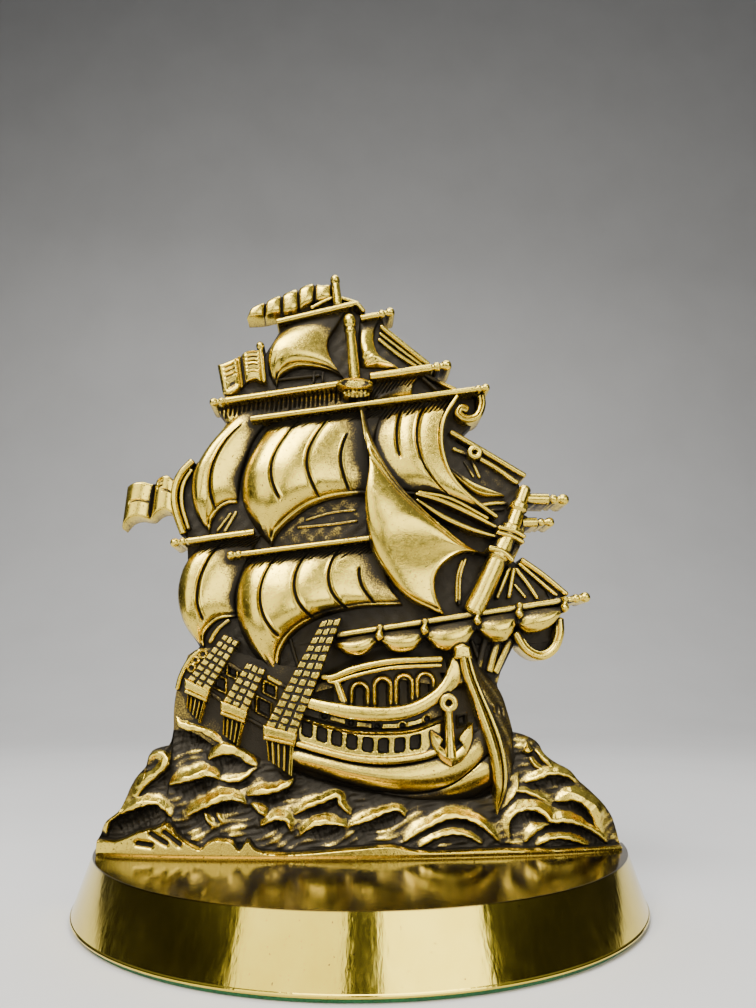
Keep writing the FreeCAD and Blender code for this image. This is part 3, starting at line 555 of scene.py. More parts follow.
# ---- flags ----
def flag(name, foot, head, folds, depth, marks, ruled):
    """A stiff flag in folds (height, half waves, start, power).

    marks are grooves (u, v, half width, half height), and ruled are the u of upright ones."""
    wide, tall = length_of(head), math.dist(foot[0], head[0])
    place, U, W = patch(steps(wide, 0.22), steps(tall, 0.22), [foot[0], head[0]], [foot[-1], head[-1]],
                        foot, head)
    height, waves, start, power = folds
    t = np.linspace(0, 1, 41)
    front = depth + np.interp(U, t, height * np.abs(np.sin(waves * math.pi * t + start)) ** power)
    front -= round_edge(margin(U, W, wide, tall), 0.7)
    for mu, mv, su, sv in marks:
        front -= 0.4 * smooth(1.25, 0.75, np.maximum(np.abs(U - mu) / su, np.abs(W - mv) / sv))
    for mu in ruled:
        front -= 0.5 * bell((U - mu) * wide, 0.3)
    relief(place, front, name=name)


def flags():
    flag("stern_flag",
         [(-56.5, 81.9), (-55, 83.8), (-53, 84.5), (-50.1, 84.2), (-48.4, 85.6), (-46.5, 86.1), (-44, 84.8)],
         [(-56, 91.8), (-54.4, 92.6), (-52.2, 92.9), (-50, 92.6), (-48.3, 94.1), (-46.4, 94.4), (-44, 92.6)],
         (1.5, 2, 0, 0.6), 6.0, [(0.30, 0.46, 0.15, 0.03), (0.84, 0.58, 0.12, 0.03), (0.66, 0.72, 0.05, 0.03),
                                 (0.66, 0.84, 0.05, 0.03), (0.66, 0.93, 0.04, 0.02)], [0.52])
    flag("mizzen_flag",
         [(-34.7, 115.4), (-33, 114.9), (-31.6, 115.8), (-30.1, 117.2), (-28.8, 118.7), (-27, 119.2),
          (-25.4, 118.4)],
         [(-36.4, 123), (-34.6, 123.4), (-32.6, 124.4), (-31, 125.8), (-29.6, 126.7), (-28, 126.9),
          (-26, 126.9)],
         (1.2, 1.5, 0.4, 0.7), 6.0,
         [(0.26, v, 0.13, 0.025) for v in (0.84, 0.7, 0.56)]
         + [(0.82, v, 0.13, 0.02) for v in (0.9, 0.76, 0.62, 0.5, 0.38, 0.26)]
         + [(0.26, 0.3, 0.12, 0.14), (0.26, 0.3, 0.07, 0.07)], [0.46, 0.56])
    flag("banner",
         [(-29.7, 135.9), (-26, 136.2), (-22, 137.2), (-18, 137.7), (-15, 139.6), (-11.5, 141),
          (-8.6, 141.4)],
         [(-29, 137.9), (-26.6, 139.4), (-22, 141.8), (-18, 143.6), (-13.4, 145.5), (-11, 145),
          (-8.6, 145.6)],
         (0.9, 5, 0, 0.5), 6.4, [], [0.2, 0.4, 0.6, 0.8])
    group("flag_poles", poles)


def poles():
    ridge([(-24.7, 118.4), (-26.2, 129.2)], ([0, 8.4, 8.7, 9.4, 10, 10.9], [0.6, 0.6, 0.5, 0.95, 1.0, 0.6]),
          6.6, ends=0.7)
    ridge([(-6.9, 139), (-7.95, 147.9)], ([0, 6.2, 6.5, 7.2, 7.9, 8.9], [1.15, 1.05, 0.8, 1.2, 1.2, 0.8]),
          6.6, ends=0.8)


# ---- hull ----
HULL_FOOT = [(-15.8, 27.3), (-9.5, 26), (-2.5, 24.2), (4.5, 22.6), (10, 21.8), (15, 21.2), (20, 21),
             (24, 21), (27.7, 20.6)]
UPPER_WALE = ([(-17, 42.8), (-9.7, 40.8), (-2.6, 39.2), (4.5, 38.9), (10.2, 39.8), (15, 42.1),
               (17.4, 43.9), (20.9, 46.9), (21.4, 50.5)],
              [(-17, 45.4), (-9.7, 43.4), (-2.6, 42.2), (4.5, 41.8), (10.2, 42.7), (14.6, 45), (17, 47.3),
               (18.5, 50.1), (19.6, 52.5), (21.1, 52.4)])
HULL_TOP = [(-11.8, 44)] + UPPER_WALE[1][1:]
LOWER_WALE = ([(-17, 34.3), (-9.5, 32.2), (-2.5, 30.6), (4.5, 30), (11, 30.6), (15.8, 31.9), (27, 37)],
              [(-17, 35.7), (-9.6, 33.7), (-2.5, 32.1), (4.5, 31.6), (11.1, 32.2), (13.9, 33), (16.4, 34),
               (27, 39)])
BIG_STRAKE = ([(-17, 30.2), (-9.5, 28.1), (-2.5, 25.9), (4.5, 24.4), (11.5, 24.3), (16.7, 25.3),
               (21, 27.5), (27.4, 32.6)],
              [(-17, 34), (-9.5, 31.9), (-2.5, 30.3), (4.5, 29.7), (11, 30.3), (16, 31.7), (20, 34),
               (26, 38)])
LOW_STRAKE = ([(3, 23.3), (8.2, 22.9), (13.8, 21.9), (18.5, 21.9), (23.2, 22.8), (27.6, 25.4)],
              [(3, 24.1), (11.5, 24), (16.7, 25), (21, 27.2), (27.4, 32.2)])
DECK_LINE = [(-17, 40.6), (-9.7, 38.5), (-2.6, 37), (4.5, 36.7), (10.6, 37.2), (16.4, 39.1)]
GUNPORTS = [(-12.4, 37.2), (-9.2, 36.2), (-6, 35.4), (-2.8, 34.7), (0.6, 34.1), (4, 33.9), (7.4, 34),
            (10.8, 34.6)]
SCUPPERS = [(-8.7, 39.9), (-3, 38.5), (2.7, 37.8), (8.1, 37.9), (13.5, 39.3)]


def between(x, z, band, soft=0.35):
    """1 inside a plank band, falling to 0 at its two long edges, and the place across it."""
    low, high = height_at(band[0], x), height_at(band[1], x)
    half = soft / 2
    inside = smooth(low - half, low + half, z) * smooth(high + half, high - half, z)
    return inside, np.clip((z - low) / np.maximum(high - low, 0.1), 0, 1)


def hull():
    """The ship's side: swelling planks, wales, a row of gun ports and small round scuppers."""
    left = [(-15.8, 27.3), (-15.2, 34.4), (-14.2, 38), (-11.8, 44)]
    right = [(27.7, 20.6), (27.9, 25.4), (27.6, 29.8), (26.6, 34.3), (25.1, 38.9), (23.8, 43.5),
             (21.8, 48.6), (21.1, 52.4)]
    place, U, W = patch(steps(46, 0.2), steps(24, 0.16), left, right, HULL_FOOT, HULL_TOP)
    x, z = place[..., 0], place[..., 1]
    depth = 9.3 + 2.2 * arch(U * 0.82 + 0.14) - 3.0 * smooth(0.3, 0, W) ** 1.5
    strake, across = between(x, z, BIG_STRAKE)
    depth += strake * (0.3 + 1.5 * arch(0.1 + 0.8 * across, 0.7))
    stain_and_shade = strake * (0.8 * smooth(0.7, 0, across) * smooth(12, -12, x) + 0.35 * smooth(0.3, 0, across))
    strake, across = between(x, z, LOW_STRAKE)
    depth += strake * (0.2 + 1.1 * arch(0.1 + 0.8 * across, 0.7)) * smooth(3, 9, x)
    stain_and_shade += 0.3 * strake * smooth(0.4, 0, across)
    for band, end in ((UPPER_WALE, 1), (LOWER_WALE, smooth(19, 15, x))):
        strake, across = between(x, z, band)
        depth += strake * (1.2 + 0.5 * arch(across, 0.7)) * end
        stain_and_shade -= 0.3 * strake * end
    deck = between(x, z, (LOWER_WALE[1], DECK_LINE), 0.3)[0]
    fore = smooth(17.4, 16, x)
    cut, panels = gun_deck(x, z)
    depth += (0.9 * deck + cut) * fore
    stain_and_shade -= (0.35 * deck + 0.4 * panels) * fore
    hawse = np.maximum(np.abs(x - 21.2) - 0.75, np.abs(z - 38.9 - 0.25 * (x - 21.2)) - 0.85)
    depth += 0.6 * bell(hawse - 0.25, 0.22) - 0.7 * smooth(0.0, -0.3, hawse)
    rail = between(x, z, UPPER_WALE)[0]
    head = smooth(45.2, 47.4, z) * smooth(17, 18.6, x)
    depth += (1 - rail) * (1.6 * head - 0.9 * smooth(36, 40, z) * smooth(16.5, 18, x) * (1 - head))
    relief(place, depth - round_edge((1 - U) * 30, 0.8), stain_and_shade - 0.3 * head, "hull_side")


def gun_deck(x, z):
    """Square ports between the wales, twin grooves over them, and round scuppers between panels."""
    line = z - height_at(DECK_LINE, x)
    out = 0.35 * bell(line, 0.22) - 0.55 * (bell(line - 0.5, 0.2) + bell(line + 0.5, 0.2))
    bright = bell(line, 0.25)
    slopes = np.gradient([port[1] for port in GUNPORTS], [port[0] for port in GUNPORTS])
    for (cx, cz), slope in zip(GUNPORTS, slopes):
        dx = np.abs(x - cx - (z - cz) * 0.05)
        dz = np.abs(z - cz - slope * (x - cx))
        sunk = smooth(0.72, 0.4, np.hypot(np.maximum(dx - 0.55, 0), np.maximum(dz - 0.9, 0)))
        out -= 1.9 * sunk
        bright -= 3 * sunk
    for cx, cz in SCUPPERS:
        r = np.hypot(x - cx, z - cz)
        out += 0.3 * bell(r - 0.85, 0.2) - 1.1 * smooth(0.7, 0.4, r)
    for (ax, az), (bx, bz) in zip(SCUPPERS, SCUPPERS[1:]):
        mx, mz, slope = (ax + bx) / 2, (az + bz) / 2, (bz - az) / (bx - ax)
        panel = np.maximum(np.abs(x - mx) - 1.6, np.abs(z - mz - slope * (x - mx)) - 0.5)
        raised = smooth(0.15, -0.15, panel)
        out += 0.5 * raised
        bright += raised
    return out, bright


def stem():
    """The grooved blade down the bow, its capped head, and the shadowed far side of the bows."""
    left = [(27.8, 19.9), (27.4, 21.9), (27.5, 25.4), (27.1, 29.8), (26, 34.3), (24.5, 38.9),
            (23.1, 43.5), (21.4, 48.6), (20.8, 52.4)]
    right = [(28, 19.9), (28.8, 21.9), (30, 25.4), (30.3, 29.8), (29.6, 34.3), (28.1, 38.9),
             (26.1, 43.5), (24.3, 48.1), (23.1, 52.4)]
    place, U, W = patch(steps(2.8, 0.11), steps(36, 0.3), left, right)
    groove = bell(U - 0.67, 0.045)
    depth = 11.6 + 1.2 * smooth(0, 0.2, W) + 0.7 * arch(U / 0.66) - 0.8 * groove
    relief(place, depth - round_edge(np.minimum(U, 1 - U) * 2.4, 0.35), 0.5 * groove - 0.35)
    u = steps(3.4, 0.15)
    place, U, W = patch(u, u, [(19.5, 52.2), (19.8, 54.6)], [(23.5, 52.2), (23.1, 54.6)],
                        [(19.5, 52.2), (21.5, 51.8), (23.5, 52.2)],
                        [(19.8, 54.6), (21.5, 55.3), (23.1, 54.6)])
    relief(place, 12.8 - round_edge(margin(U, W, 3.4, 2.6), 0.7))
    edge = [(33, 21), (34, 28.8), (33.6, 32.5), (33.2, 36.3), (32, 41), (31, 44.3), (29.4, 46.9), (25.2, 52)]
    place, U, _ = patch(steps(5, 0.2), steps(34, 0.25), right[1:], edge)
    x, z = place[..., 0], place[..., 1]
    depth = 9.6 - 3.4 * U ** 1.4 + 0.2 * np.cos(U * 11 + z * 0.5)
    for cx in (28.6, 29.9, 31.1):
        depth += 0.6 * bell(x - cx, 0.28) * smooth(1.1, 0.7, np.abs(z - 41.2 + 0.3 * (x - 29)))
    # The far side of the bows is painted darker all over: painted shade on the side that turns away.
    relief(place, depth, 0.55)


def anchor():
    """A flat anchor lying on the bow: ring, tapering shank, two arms and barbed flukes."""
    face = 13.4
    ridge([(18, 41.6), (18.1, 36.5), (18.2, 31)], ([0, 1, 6, 10.6], [0.85, 0.8, 0.95, 1.4]), face - 0.4)
    for outer, inner in (([(18.3, 29.6), (16.1, 31.1), (14.4, 33.9), (14, 36.8)],
                          [(18.3, 32.6), (17.3, 32.9), (15.7, 34.2), (16.6, 35.2), (14.2, 36.9)]),
                         ([(18.3, 29.6), (21, 31.4), (22.8, 35), (23.1, 38.5)],
                          [(18.3, 32.6), (19.4, 32.7), (21, 34.3), (20.1, 35.4), (22.9, 38.6)])):
        place, U, _ = patch(np.linspace(0, 1, 18), np.linspace(0, 1, 40), outer, inner)
        relief(place, face + 0.6 * (1 - np.abs(2 * U - 1)) ** 0.7 - 0.3, -0.3)
    ring((18, 42.7), 0.7, 1.95, face)
    oval((18, 42.7), 0.75, 0.75, 11, 0.1)


def forecastle():
    """The arcaded bulwark behind the rail, its mouldings and the canvas-smooth roof."""
    u, v = steps(25, 0.18), steps(11, 0.18)
    place = patch(u, v, [(-6.6, 41), (-6.9, 48.4)], [(19, 44), (17.6, 52)], [(-6.6, 41), (4, 39.4), (19, 44)],
                  [(-6.9, 48.4), (-2, 49.8), (6, 51.4), (17.6, 52)])[0]
    x, z = place[..., 0], place[..., 1]
    depth, rims = np.full(x.shape, 7.6), np.zeros(x.shape)
    for cx, top in ((-1.1, 46.3), (4, 47.4), (8.8, 48), (13.5, 48.4)):
        bay = np.maximum(np.hypot(x - cx, np.maximum(z - (top - 1.2), 0)), np.abs(x - cx)) - 1.2
        rims = np.maximum(rims, bell(bay - 0.6, 0.55))
        depth -= 1.6 * smooth(0.05, -0.35, bay)
    relief(place, depth + 1.3 * rims, 0.3 - 0.95 * rims)
    bars([([(-9.9, 48.3), (-7, 48.2), (-2.1, 50), (6.2, 51.6), (17.5, 52.1)],
           ([0, 5, 27], [0.6, 0.85, 0.7]), 8.8),
          ([(-8.4, 47.5), (-6.5, 47.1), (-2.1, 48.5), (6.2, 50.2), (17.2, 50.7)], 0.4, 9.2),
          ([(-6.4, 47.4), (-5.2, 44.4), (-4.4, 42)], 0.9, 8.8)])
    place, _, W = patch(u, v, [(-11, 45), (-9.9, 48.6)], [(19, 46), (17.8, 55)],
                        [(-11, 45), (3, 48), (19, 46)],
                        [(-9.9, 48.6), (-6.5, 50.8), (-1, 53.6), (6, 55.4), (12, 54.6), (17.8, 55)])
    relief(place, 7.6 - 1.9 * smooth(0.35, 1, W), 0.6 * W - 0.5)


# ---- the after hull: shrouds, channels, windows ----
SHROUDS = [   # foot left and right, head left and right, rows, depth, foot of the plates
    ((-21.1, 38.2), (-14.7, 36.3), (-9.4, 60.4), (-5.3, 61), 14, 12.0, (-20.4, 31), (-15.4, 27.9)),
    ((-30.6, 43.2), (-25.5, 40.8), (-25.7, 51.4), (-21.8, 50), 6, 9.8, (-30.5, 36.1), (-26.9, 33.7)),
    ((-38.6, 47.8), (-33.9, 45.2), (-31, 57.6), (-27.9, 56), 8, 9.2, (-38.7, 41.7), (-35.5, 38.4)),
]


def lattice(left, right, head_left, head_right, rows, depth):
    """Shrouds and ratlines as a sloping board scored into small squares, three across."""
    place, U, W = patch(steps(1, 1 / 48), steps(1, 1 / (rows * 12)), [left, head_left], [right, head_right])
    column = np.abs((U * 3 + 0.5) % 1 - 0.5) + 0.5 * ((U < 0.1) | (U > 0.9))
    row = np.abs((W ** 0.88 * rows + 0.05 * np.sin(U * 9 + W * 40) + 0.5) % 1 - 0.5)
    score = np.maximum(smooth(0.2, 0.1, column), smooth(0.22, 0.12, row))
    depth = depth + 0.9 - 0.42 * score - 0.5 * W - round_edge(np.minimum(U, 1 - U) * 6, 0.3)
    relief(place, depth, 1.5 * score - 0.9 + 0.5 * W)


def channel(left, right, depth, foot_left, foot_right):
    """The bevelled box that spreads the shrouds, with upright chain plates under it."""
    (lx, lz), (rx, rz) = left, right
    place, U, W = patch(steps(6, 0.15), steps(2.4, 0.12), [(lx - 0.4, lz - 2.9), (lx - 0.5, lz + 0.1)],
                        [(rx - 0.2, rz - 2.4), (rx + 0.3, rz + 0.2)])
    bevel = round_edge(margin(U, W, 6, 2.8), 0.6)
    relief(place, depth + 1.8 - bevel - 0.5 * bell(W - 0.32, 0.06), -0.35)
    place, U, _ = patch(steps(5, 0.14), steps(7, 0.3), [foot_left, (lx, lz - 1.9)],
                        [foot_right, (rx - 0.4, rz - 1.5)])
    flute, last = np.cos(U * 9 * math.pi), smooth(0.82, 0.9, U)
    relief(place, depth - 0.6 + 0.35 * flute + 0.9 * last, 0.25 - 0.25 * flute - 0.5 * last)


# middle of each square light, its half width and half height; then the ledges' ends
WINDOWS = [(-31.9, 46.9, 1.1, 1.2), (-29.3, 49.4, 0.8, 0.9), (-22.1, 41.7, 1.3, 1.4), (-20.9, 45.5, 1.1, 1.0)]
LEDGES = [((-30.4, 51.3), (-26.6, 49)), ((-34, 45), (-31.2, 43)), ((-21.6, 48.4), (-16.9, 45.8)),
          ((-25.6, 39.5), (-21.8, 37.4)), ((-33.6, 50.6), (-31, 49)), ((-25, 45.4), (-24.4, 41))]


def after_hull():
    """The quarter of the hull left of the main shrouds, with square lights between the shrouds."""
    place = patch(steps(26, 0.22), steps(24, 0.22), [(-41.6, 37), (-41.8, 42), (-41.2, 47), (-39.4, 53)],
                  [(-15, 27), (-15, 36), (-14.6, 44), (-12, 50)],
                  [(-41.6, 37), (-37, 36.4), (-32, 33.4), (-26, 30.4), (-15, 27)],
                  [(-39.4, 53), (-36.5, 54.4), (-30, 54), (-20, 51), (-12, 50)])[0]
    x, z = place[..., 0], place[..., 1]
    depth = 6.8 + 0.8 * smooth(-41, -36, x)
    frames = np.zeros(x.shape)
    for cx, cz, sx, sz in WINDOWS:
        d = np.maximum(np.abs(x - cx) - sx, np.abs(z - cz + 0.5 * (x - cx)) - sz)
        frames = np.maximum(frames, bell(d - 0.3, 0.28))
        depth -= 1.1 * smooth(0.05, -0.25, d)
    for cx, cz, r in ((-38.4, 50.2, 0.8), (-37.6, 51.9, 0.7), (-36, 53.2, 0.8)):
        frames = np.maximum(frames, bell(np.hypot(x - cx, z - cz) - r, 0.28))
    relief(place, depth + 0.7 * frames, 0.5 - 1.05 * frames)
    bars([([(-41.3, 45.4), (-40.6, 48.6), (-38.9, 52), (-36.4, 54.2)], 0.5, 7.4)])
    bars([(ledge, 0.5, 7.9) for ledge in LEDGES])
    for left, right, head_left, head_right, rows, depth, plate_left, plate_right in SHROUDS:
        lattice(left, right, head_left, head_right, rows, depth)
        channel(left, right, depth, plate_left, plate_right)


# ---- the sea ----
SEA_TOP = [(FOOT_L, BASE_TOP), (-55.8, 15.6), (-54.9, 18.2), (-51.9, 20.6), (-51, 22.8), (-49.9, 25.8),
           (-48.8, 27.6), (-47.2, 29.6), (-46.9, 31.4), (-46, 32.8), (-44.2, 33.3), (-42.5, 33.9),
           (-41.9, 37), (-41.7, 40.8), (-40.6, 41), (-36, 39), (-30, 35.8), (-24, 32), (-18, 30),
           (-12, 27.4), (-4, 25.4), (4, 24), (12, 23), (20, 22.6), (26, 23), (29.6, 26), (31.6, 30),
           (32.8, 35.2), (34, 36), (36.2, 35.5), (38.8, 34), (39.7, 31.9), (42.2, 29.9), (45.4, 28.2),
           (47.3, 26), (50, 23.7), (53.5, 20), (55.1, 16.6), (FOOT_R, BASE_TOP)]
FOOT_BAND = [(FOOT_L, 15.2), (-51.4, 15.2), (-47, 16.9), (-43.6, 17.7), (-40.9, 18.5), (-37.8, 15.9),
             (-34, 14), (-32.2, 15.1), (-30.4, 15.8), (-27.3, 15.4), (-25.6, 13.8), (-24, 15.6),
             (-21.9, 13.8), (-17.3, 13.2), (-11.5, 13.4), (-3.2, 14), (5, 14.5), (9, 13.8), (14, 13.3),
             (28, 13.5), (34, 13.2), (FOOT_R, 12.9)]
# points left to right, height, width of the lip, depth of the scoop, reach of the scoop
CRESTS = [
    ([(-54.4, 15.2), (-54.2, 17.4), (-53.2, 19.2), (-49.6, 20.9), (-44.5, 22.3), (-42, 21), (-40.4, 19.4)],
     1.9, 0.7, 1.9, 3.4),
    ([(-37.4, 19.8), (-34.6, 21.2), (-31.3, 22.5), (-28.8, 23.1), (-26.8, 23), (-24.7, 22.2)], 2.1, 1.0,
     1.5, 3.2),
    ([(-33.8, 21.4), (-33.1, 19.4), (-31, 17.6)], 0.9, 0.3, 0.4, 0.8),
    ([(-31.6, 20.9), (-30.6, 19.6), (-29.2, 18.5)], 0.7, 0.2, 0.3, 0.7),
    ([(-41.8, 25.9), (-38.5, 26.6), (-36, 27.2), (-33.2, 27.8), (-30.6, 27)], 2.1, 1.1, 1.5, 3.0),
    ([(-31.4, 27.2), (-28.6, 26.6), (-26.1, 27), (-24, 28.7), (-22.4, 29.6)], 1.2, 0.3, 0.8, 1.8),
    ([(-34, 30.8), (-31.5, 31.9), (-29, 32.2), (-27, 31.8), (-24.9, 30.3), (-22.6, 29.5)], 1.9, 1.8, 1.2,
     2.6),
    ([(-41.4, 40.4), (-40.5, 38.1), (-38.4, 37.1), (-35.8, 36.8), (-32.2, 35), (-29.6, 33.6)], 1.9, 1.0,
     1.4, 3.6),
    ([(-48.4, 21.8), (-48.1, 23.8), (-46.8, 25.7), (-44.2, 27.8), (-42.4, 29.8), (-42.5, 31.6),
     (-44.2, 32.4), (-45.8, 31.9), (-46.5, 30.4)], 1.8, 1.1, 0.7, 1.6),
    ([(-25.2, 23.9), (-20.4, 24.4), (-17.9, 25), (-15.8, 26.1), (-15, 27.8)], 2.0, 0.9, 1.4, 2.8),
    ([(-15.3, 20), (-11.8, 21.6), (-8.4, 22.8), (-5.9, 23.6), (-5.1, 22), (-2.6, 20)], 1.9, 0.6, 1.2, 2.4),
    ([(-24, 22.5), (-22.4, 21.1), (-20.2, 19.7)], 1.6, 0.5, 0.8, 1.6),
    ([(-21.8, 17.9), (-18.8, 19.3), (-16.3, 19), (-15.3, 17.2)], 1.7, 0.5, 1.2, 2.2),
    ([(-13.6, 16.4), (-10.8, 18), (-7.4, 18.5), (-3.3, 17.9)], 1.8, 0.7, 1.2, 2.2),
    ([(-3.6, 17.9), (1, 19.2), (4.2, 20.5), (7, 20.9), (8.8, 19.6)], 1.8, 0.6, 1.2, 2.4),
    ([(7.8, 14.7), (12, 17.1), (15.9, 18.8), (18.7, 19.4), (21.5, 19.1), (24.8, 17.6), (28.4, 14.6)], 1.9,
     0.8, 1.0, 1.1),
    ([(10.8, 13.6), (14.7, 15.6), (18.2, 16.3), (21.4, 15.9), (25, 14.1)], 1.5, 0.5, 0.7, 1.0),
    ([(30.5, 15), (30.5, 18), (32.2, 20), (34.8, 20.7), (37.2, 20.3), (38.9, 19.1), (39.8, 18.2),
     (42.7, 18.1), (45.9, 17.5), (48.6, 16.3), (51.3, 14.5), (53, 12.8)], 1.9, 0.7, 1.6, 2.2),
    ([(33.6, 14.2), (36, 16.2), (38.4, 17.4), (40.6, 17.7)], 1.3, 0.5, 0.5, 0.8),
    ([(35.8, 13.4), (39.5, 14.8), (42.2, 14.9), (45.4, 14.1), (48.8, 12.9)], 1.4, 0.5, 0.7, 0.8),
    ([(41, 22.2), (42.8, 22.2), (45.3, 22.4), (47.6, 21.3), (49.1, 19.2), (50, 17), (51.8, 15)], 2.0, 1.8,
     1.3, 1.6),
    ([(34.4, 25.9), (38.1, 26.8), (39.8, 27.5), (42.2, 27.6), (44.7, 27), (46.5, 25.6)], 1.8, 0.6, 1.2,
     2.2),
    ([(36.4, 31.4), (37.2, 29.4), (39.6, 28.6)], 1.1, 0.3, 0.5, 0.9),
    ([(37.8, 32.8), (38.9, 30.9), (40.1, 29.7), (41.9, 28.6)], 1.2, 0.5, 0.6, 1.0),
    ([(34.9, 32.6), (36, 32.2), (37.2, 32.8)], 1.6, 1.0, 0.5, 0.8),
    ([(28.4, 20), (31, 22.4), (32.9, 24.6), (33.4, 27.6)], 0.9, 0.15, 0.3, 0.6),
    ([(29.4, 22.6), (33, 24.2), (37.4, 23), (41, 21)], 0.9, 0.3, 0.6, 1.6),
]
# the dark slots of the near wave, each from one end to the other
NOTCHES = [((-46.8, 14.8), (-43.9, 14.5)), ((-44.1, 16.7), (-40.7, 14.9)), ((-41.2, 17), (-37.9, 14.8))]


def sea_base(x, z):
    """Depth of the sea's foot, bowed forwards in plan, and of its troughs, which lean back."""
    across = 1 - ((x - (FOOT_L + FOOT_R) / 2) / ((FOOT_R - FOOT_L) / 2)) ** 2
    foot = FOOT_DEPTH_END + (FOOT_DEPTH_MID - FOOT_DEPTH_END) * np.maximum(across, 0) ** 0.7
    rise = np.clip((z - BASE_TOP - 1.5) / 24, 0, 1)
    return foot, foot - 2.4 - (foot - GROUND_DEPTH - 2.6) * rise * 0.8


def nearest(line, x, z):
    """Index of, distance to, and side of the nearest point of a line."""
    tangent = np.gradient(line, axis=0)
    tangent /= np.linalg.norm(tangent, axis=1)[:, None]
    k = np.hypot(x[:, None] - line[:, 0], z[:, None] - line[:, 1]).argmin(1)
    dx, dz = x - line[k, 0], z - line[k, 1]
    return k, dx * tangent[k, 0] + dz * tangent[k, 1], tangent[k, 0] * dz - tangent[k, 1] * dx


def crest_field(x, z):
    """Waves: a bright rounded lip, a back that falls away above it, a ribbed scoop below."""
    lift, scoop, ribs = np.zeros_like(x), np.zeros_like(x), np.zeros_like(x)
    for points, height, bright, hollow, reach in CRESTS:
        t = np.linspace(0, 1, 90)
        line = spline(points, t)
        near = (x > line[:, 0].min() - 5) & (x < line[:, 0].max() + 5)
        near &= (z > line[:, 1].min() - 5) & (z < line[:, 1].max() + 6)
        k, past, side = nearest(line, x[near], z[near])
        along = t[k] * length_of(points)
        taper = arch(np.clip(t[k], 0.01, 0.99), 0.85) * smooth(1.2, 0.2, np.abs(past))
        top = bright * taper * (0.85 + 0.25 * np.sin(along * 0.9 + 9 * height))
        side += 0.07 * np.sin(along * 2.9) * taper
        above = np.maximum(side - top, 0)
        up = height * taper ** 0.6 * np.where(side > 0, np.exp(-(above / 1.3) ** 1.2), bell(side, 0.5))
        lift[near] = np.maximum(lift[near], up)
        down = hollow * taper * np.where(side < 0, np.exp(-(side / reach) ** 2) * smooth(0, -0.5, side), 0)
        rib = np.cos(along * 4.6 + 0.9 * side)
        ribs[near] = np.where(down > scoop[near], rib, ribs[near])
        scoop[near] = np.maximum(scoop[near], down)
    away = np.clip(1 - lift, 0, 1)
    return lift - scoop * away * (1 + 0.2 * ribs), lift, smooth(0.2, 0.9, scoop) * away * ribs


def sea():
    """The sea: troughs, crests, a bright band along the foot and the slots of the near wave."""
    x_line = np.linspace(FOOT_L, FOOT_R, 640)
    top = np.maximum(height_at(SEA_TOP, x_line), BASE_TOP + 0.01)
    v = steps(24, 0.16)
    x = np.broadcast_to(x_line, (len(v), len(x_line)))
    z = BASE_TOP + (top - BASE_TOP) * v[:, None]
    foot, trough = sea_base(x, z)
    flow = np.sin(x * 0.8 + 1.4 * np.sin(z * 0.5)) * np.cos(z * 0.95 + 0.7 * np.sin(x * 0.33))
    streak = np.sin(z * 4.1 - x * 1.4 + 2.2 * np.sin(x * 0.45 + z * 0.3))
    waves, lip, ribs = crest_field(x, z)
    band = z - height_at(FOOT_BAND, x_line)
    calm = 1 - 0.8 * smooth(0, 0.5, lip)
    depth = trough + waves + (0.35 * flow + 0.1 * streak) * calm
    depth = np.maximum(depth, foot + 0.05 - 9 * smooth(-0.4, 1.2, band) - 0.25 * smooth(0.8, 0, z - BASE_TOP))
    slot = np.zeros_like(x)
    for (ax, az), (bx, bz) in NOTCHES:
        dx, dz = bx - ax, bz - az
        t = np.clip(((x - ax) * dx + (z - az) * dz) / (dx ** 2 + dz ** 2), 0, 1)
        slot = np.maximum(slot, bell(np.hypot(x - ax - t * dx, z - az - t * dz), 0.5))
    depth -= 1.1 * slot + round_edge((1 - v)[:, None] * (top - BASE_TOP), 0.9)
    proud = np.maximum(smooth(0.15, 1.35, lip), smooth(0.3, -0.3, band) - slot)
    mottle = 0.22 * flow + 0.14 * streak + 0.25 * ribs
    stain_and_shade = 0.5 - (1 - proud) * mottle * calm - 0.9 * proud
    relief(np.stack([x.T, z.T], -1), depth.T, stain_and_shade.T, "sea", ruled=True)


# ---- the ground behind the ship ----
GROUND_LEFT = [(-40, 19), (-41, 30), (-41.4, 47), (-37.4, 55), (-41, 61), (-42, 67), (-41, 73),
               (-41.6, 79.4), (-43.6, 86), (-44.2, 91), (-42.6, 96), (-39.8, 99), (-36.6, 104),
               (-32.2, 111), (-33.2, 117), (-25.4, 126), (-21.6, 133), (-21, 137.4), (-9.6, 142)]
GROUND_RIGHT = [(32.4, 19), (33.4, 30), (32.8, 36.5), (31.4, 42), (30.4, 46.6), (31.4, 49.6), (34.6, 55.4),
                (39.6, 53.6), (43.2, 56), (45, 63), (43, 67.6), (35.4, 75), (37.4, 84), (37.6, 93.8),
                (22.4, 104.6), (27.6, 110), (27.6, 115.6), (19.8, 118), (16, 122.6), (5, 132.4),
                (4.6, 136.4), (-1.4, 137.8), (-6.4, 142)]


def ground():
    """The plain web of metal between the sails and spars, a little uneven as cast."""
    z = np.arange(19, 142.01, 0.4)[:, None]
    left, right = np.array(GROUND_LEFT), np.array(GROUND_RIGHT)
    x_left = np.interp(z, left[:, 1], left[:, 0])
    x_right = np.interp(z, np.maximum.accumulate(right[:, 1]), right[:, 0])
    x = x_left + (x_right - x_left) * np.linspace(0, 1, 190)
    z = np.broadcast_to(z, x.shape)
    uneven = 0.12 * np.sin(x * 1.7 + 1.1 * np.sin(z * 0.8)) * np.cos(z * 1.3)
    depth = GROUND_DEPTH + uneven - round_edge(np.minimum(x - x_left, x_right - x), 0.6)
    relief(np.stack([x, z], -1), depth, 0.15 - uneven, "ground_web", root=0.0, ruled=True)


# ---- patina: the buffing wheel reaches only what stands proud ----
CELL = 0.25
LOW_CORNER, MAP_SIZE = np.array([-60.0, 10.0]), np.array([120, 140])


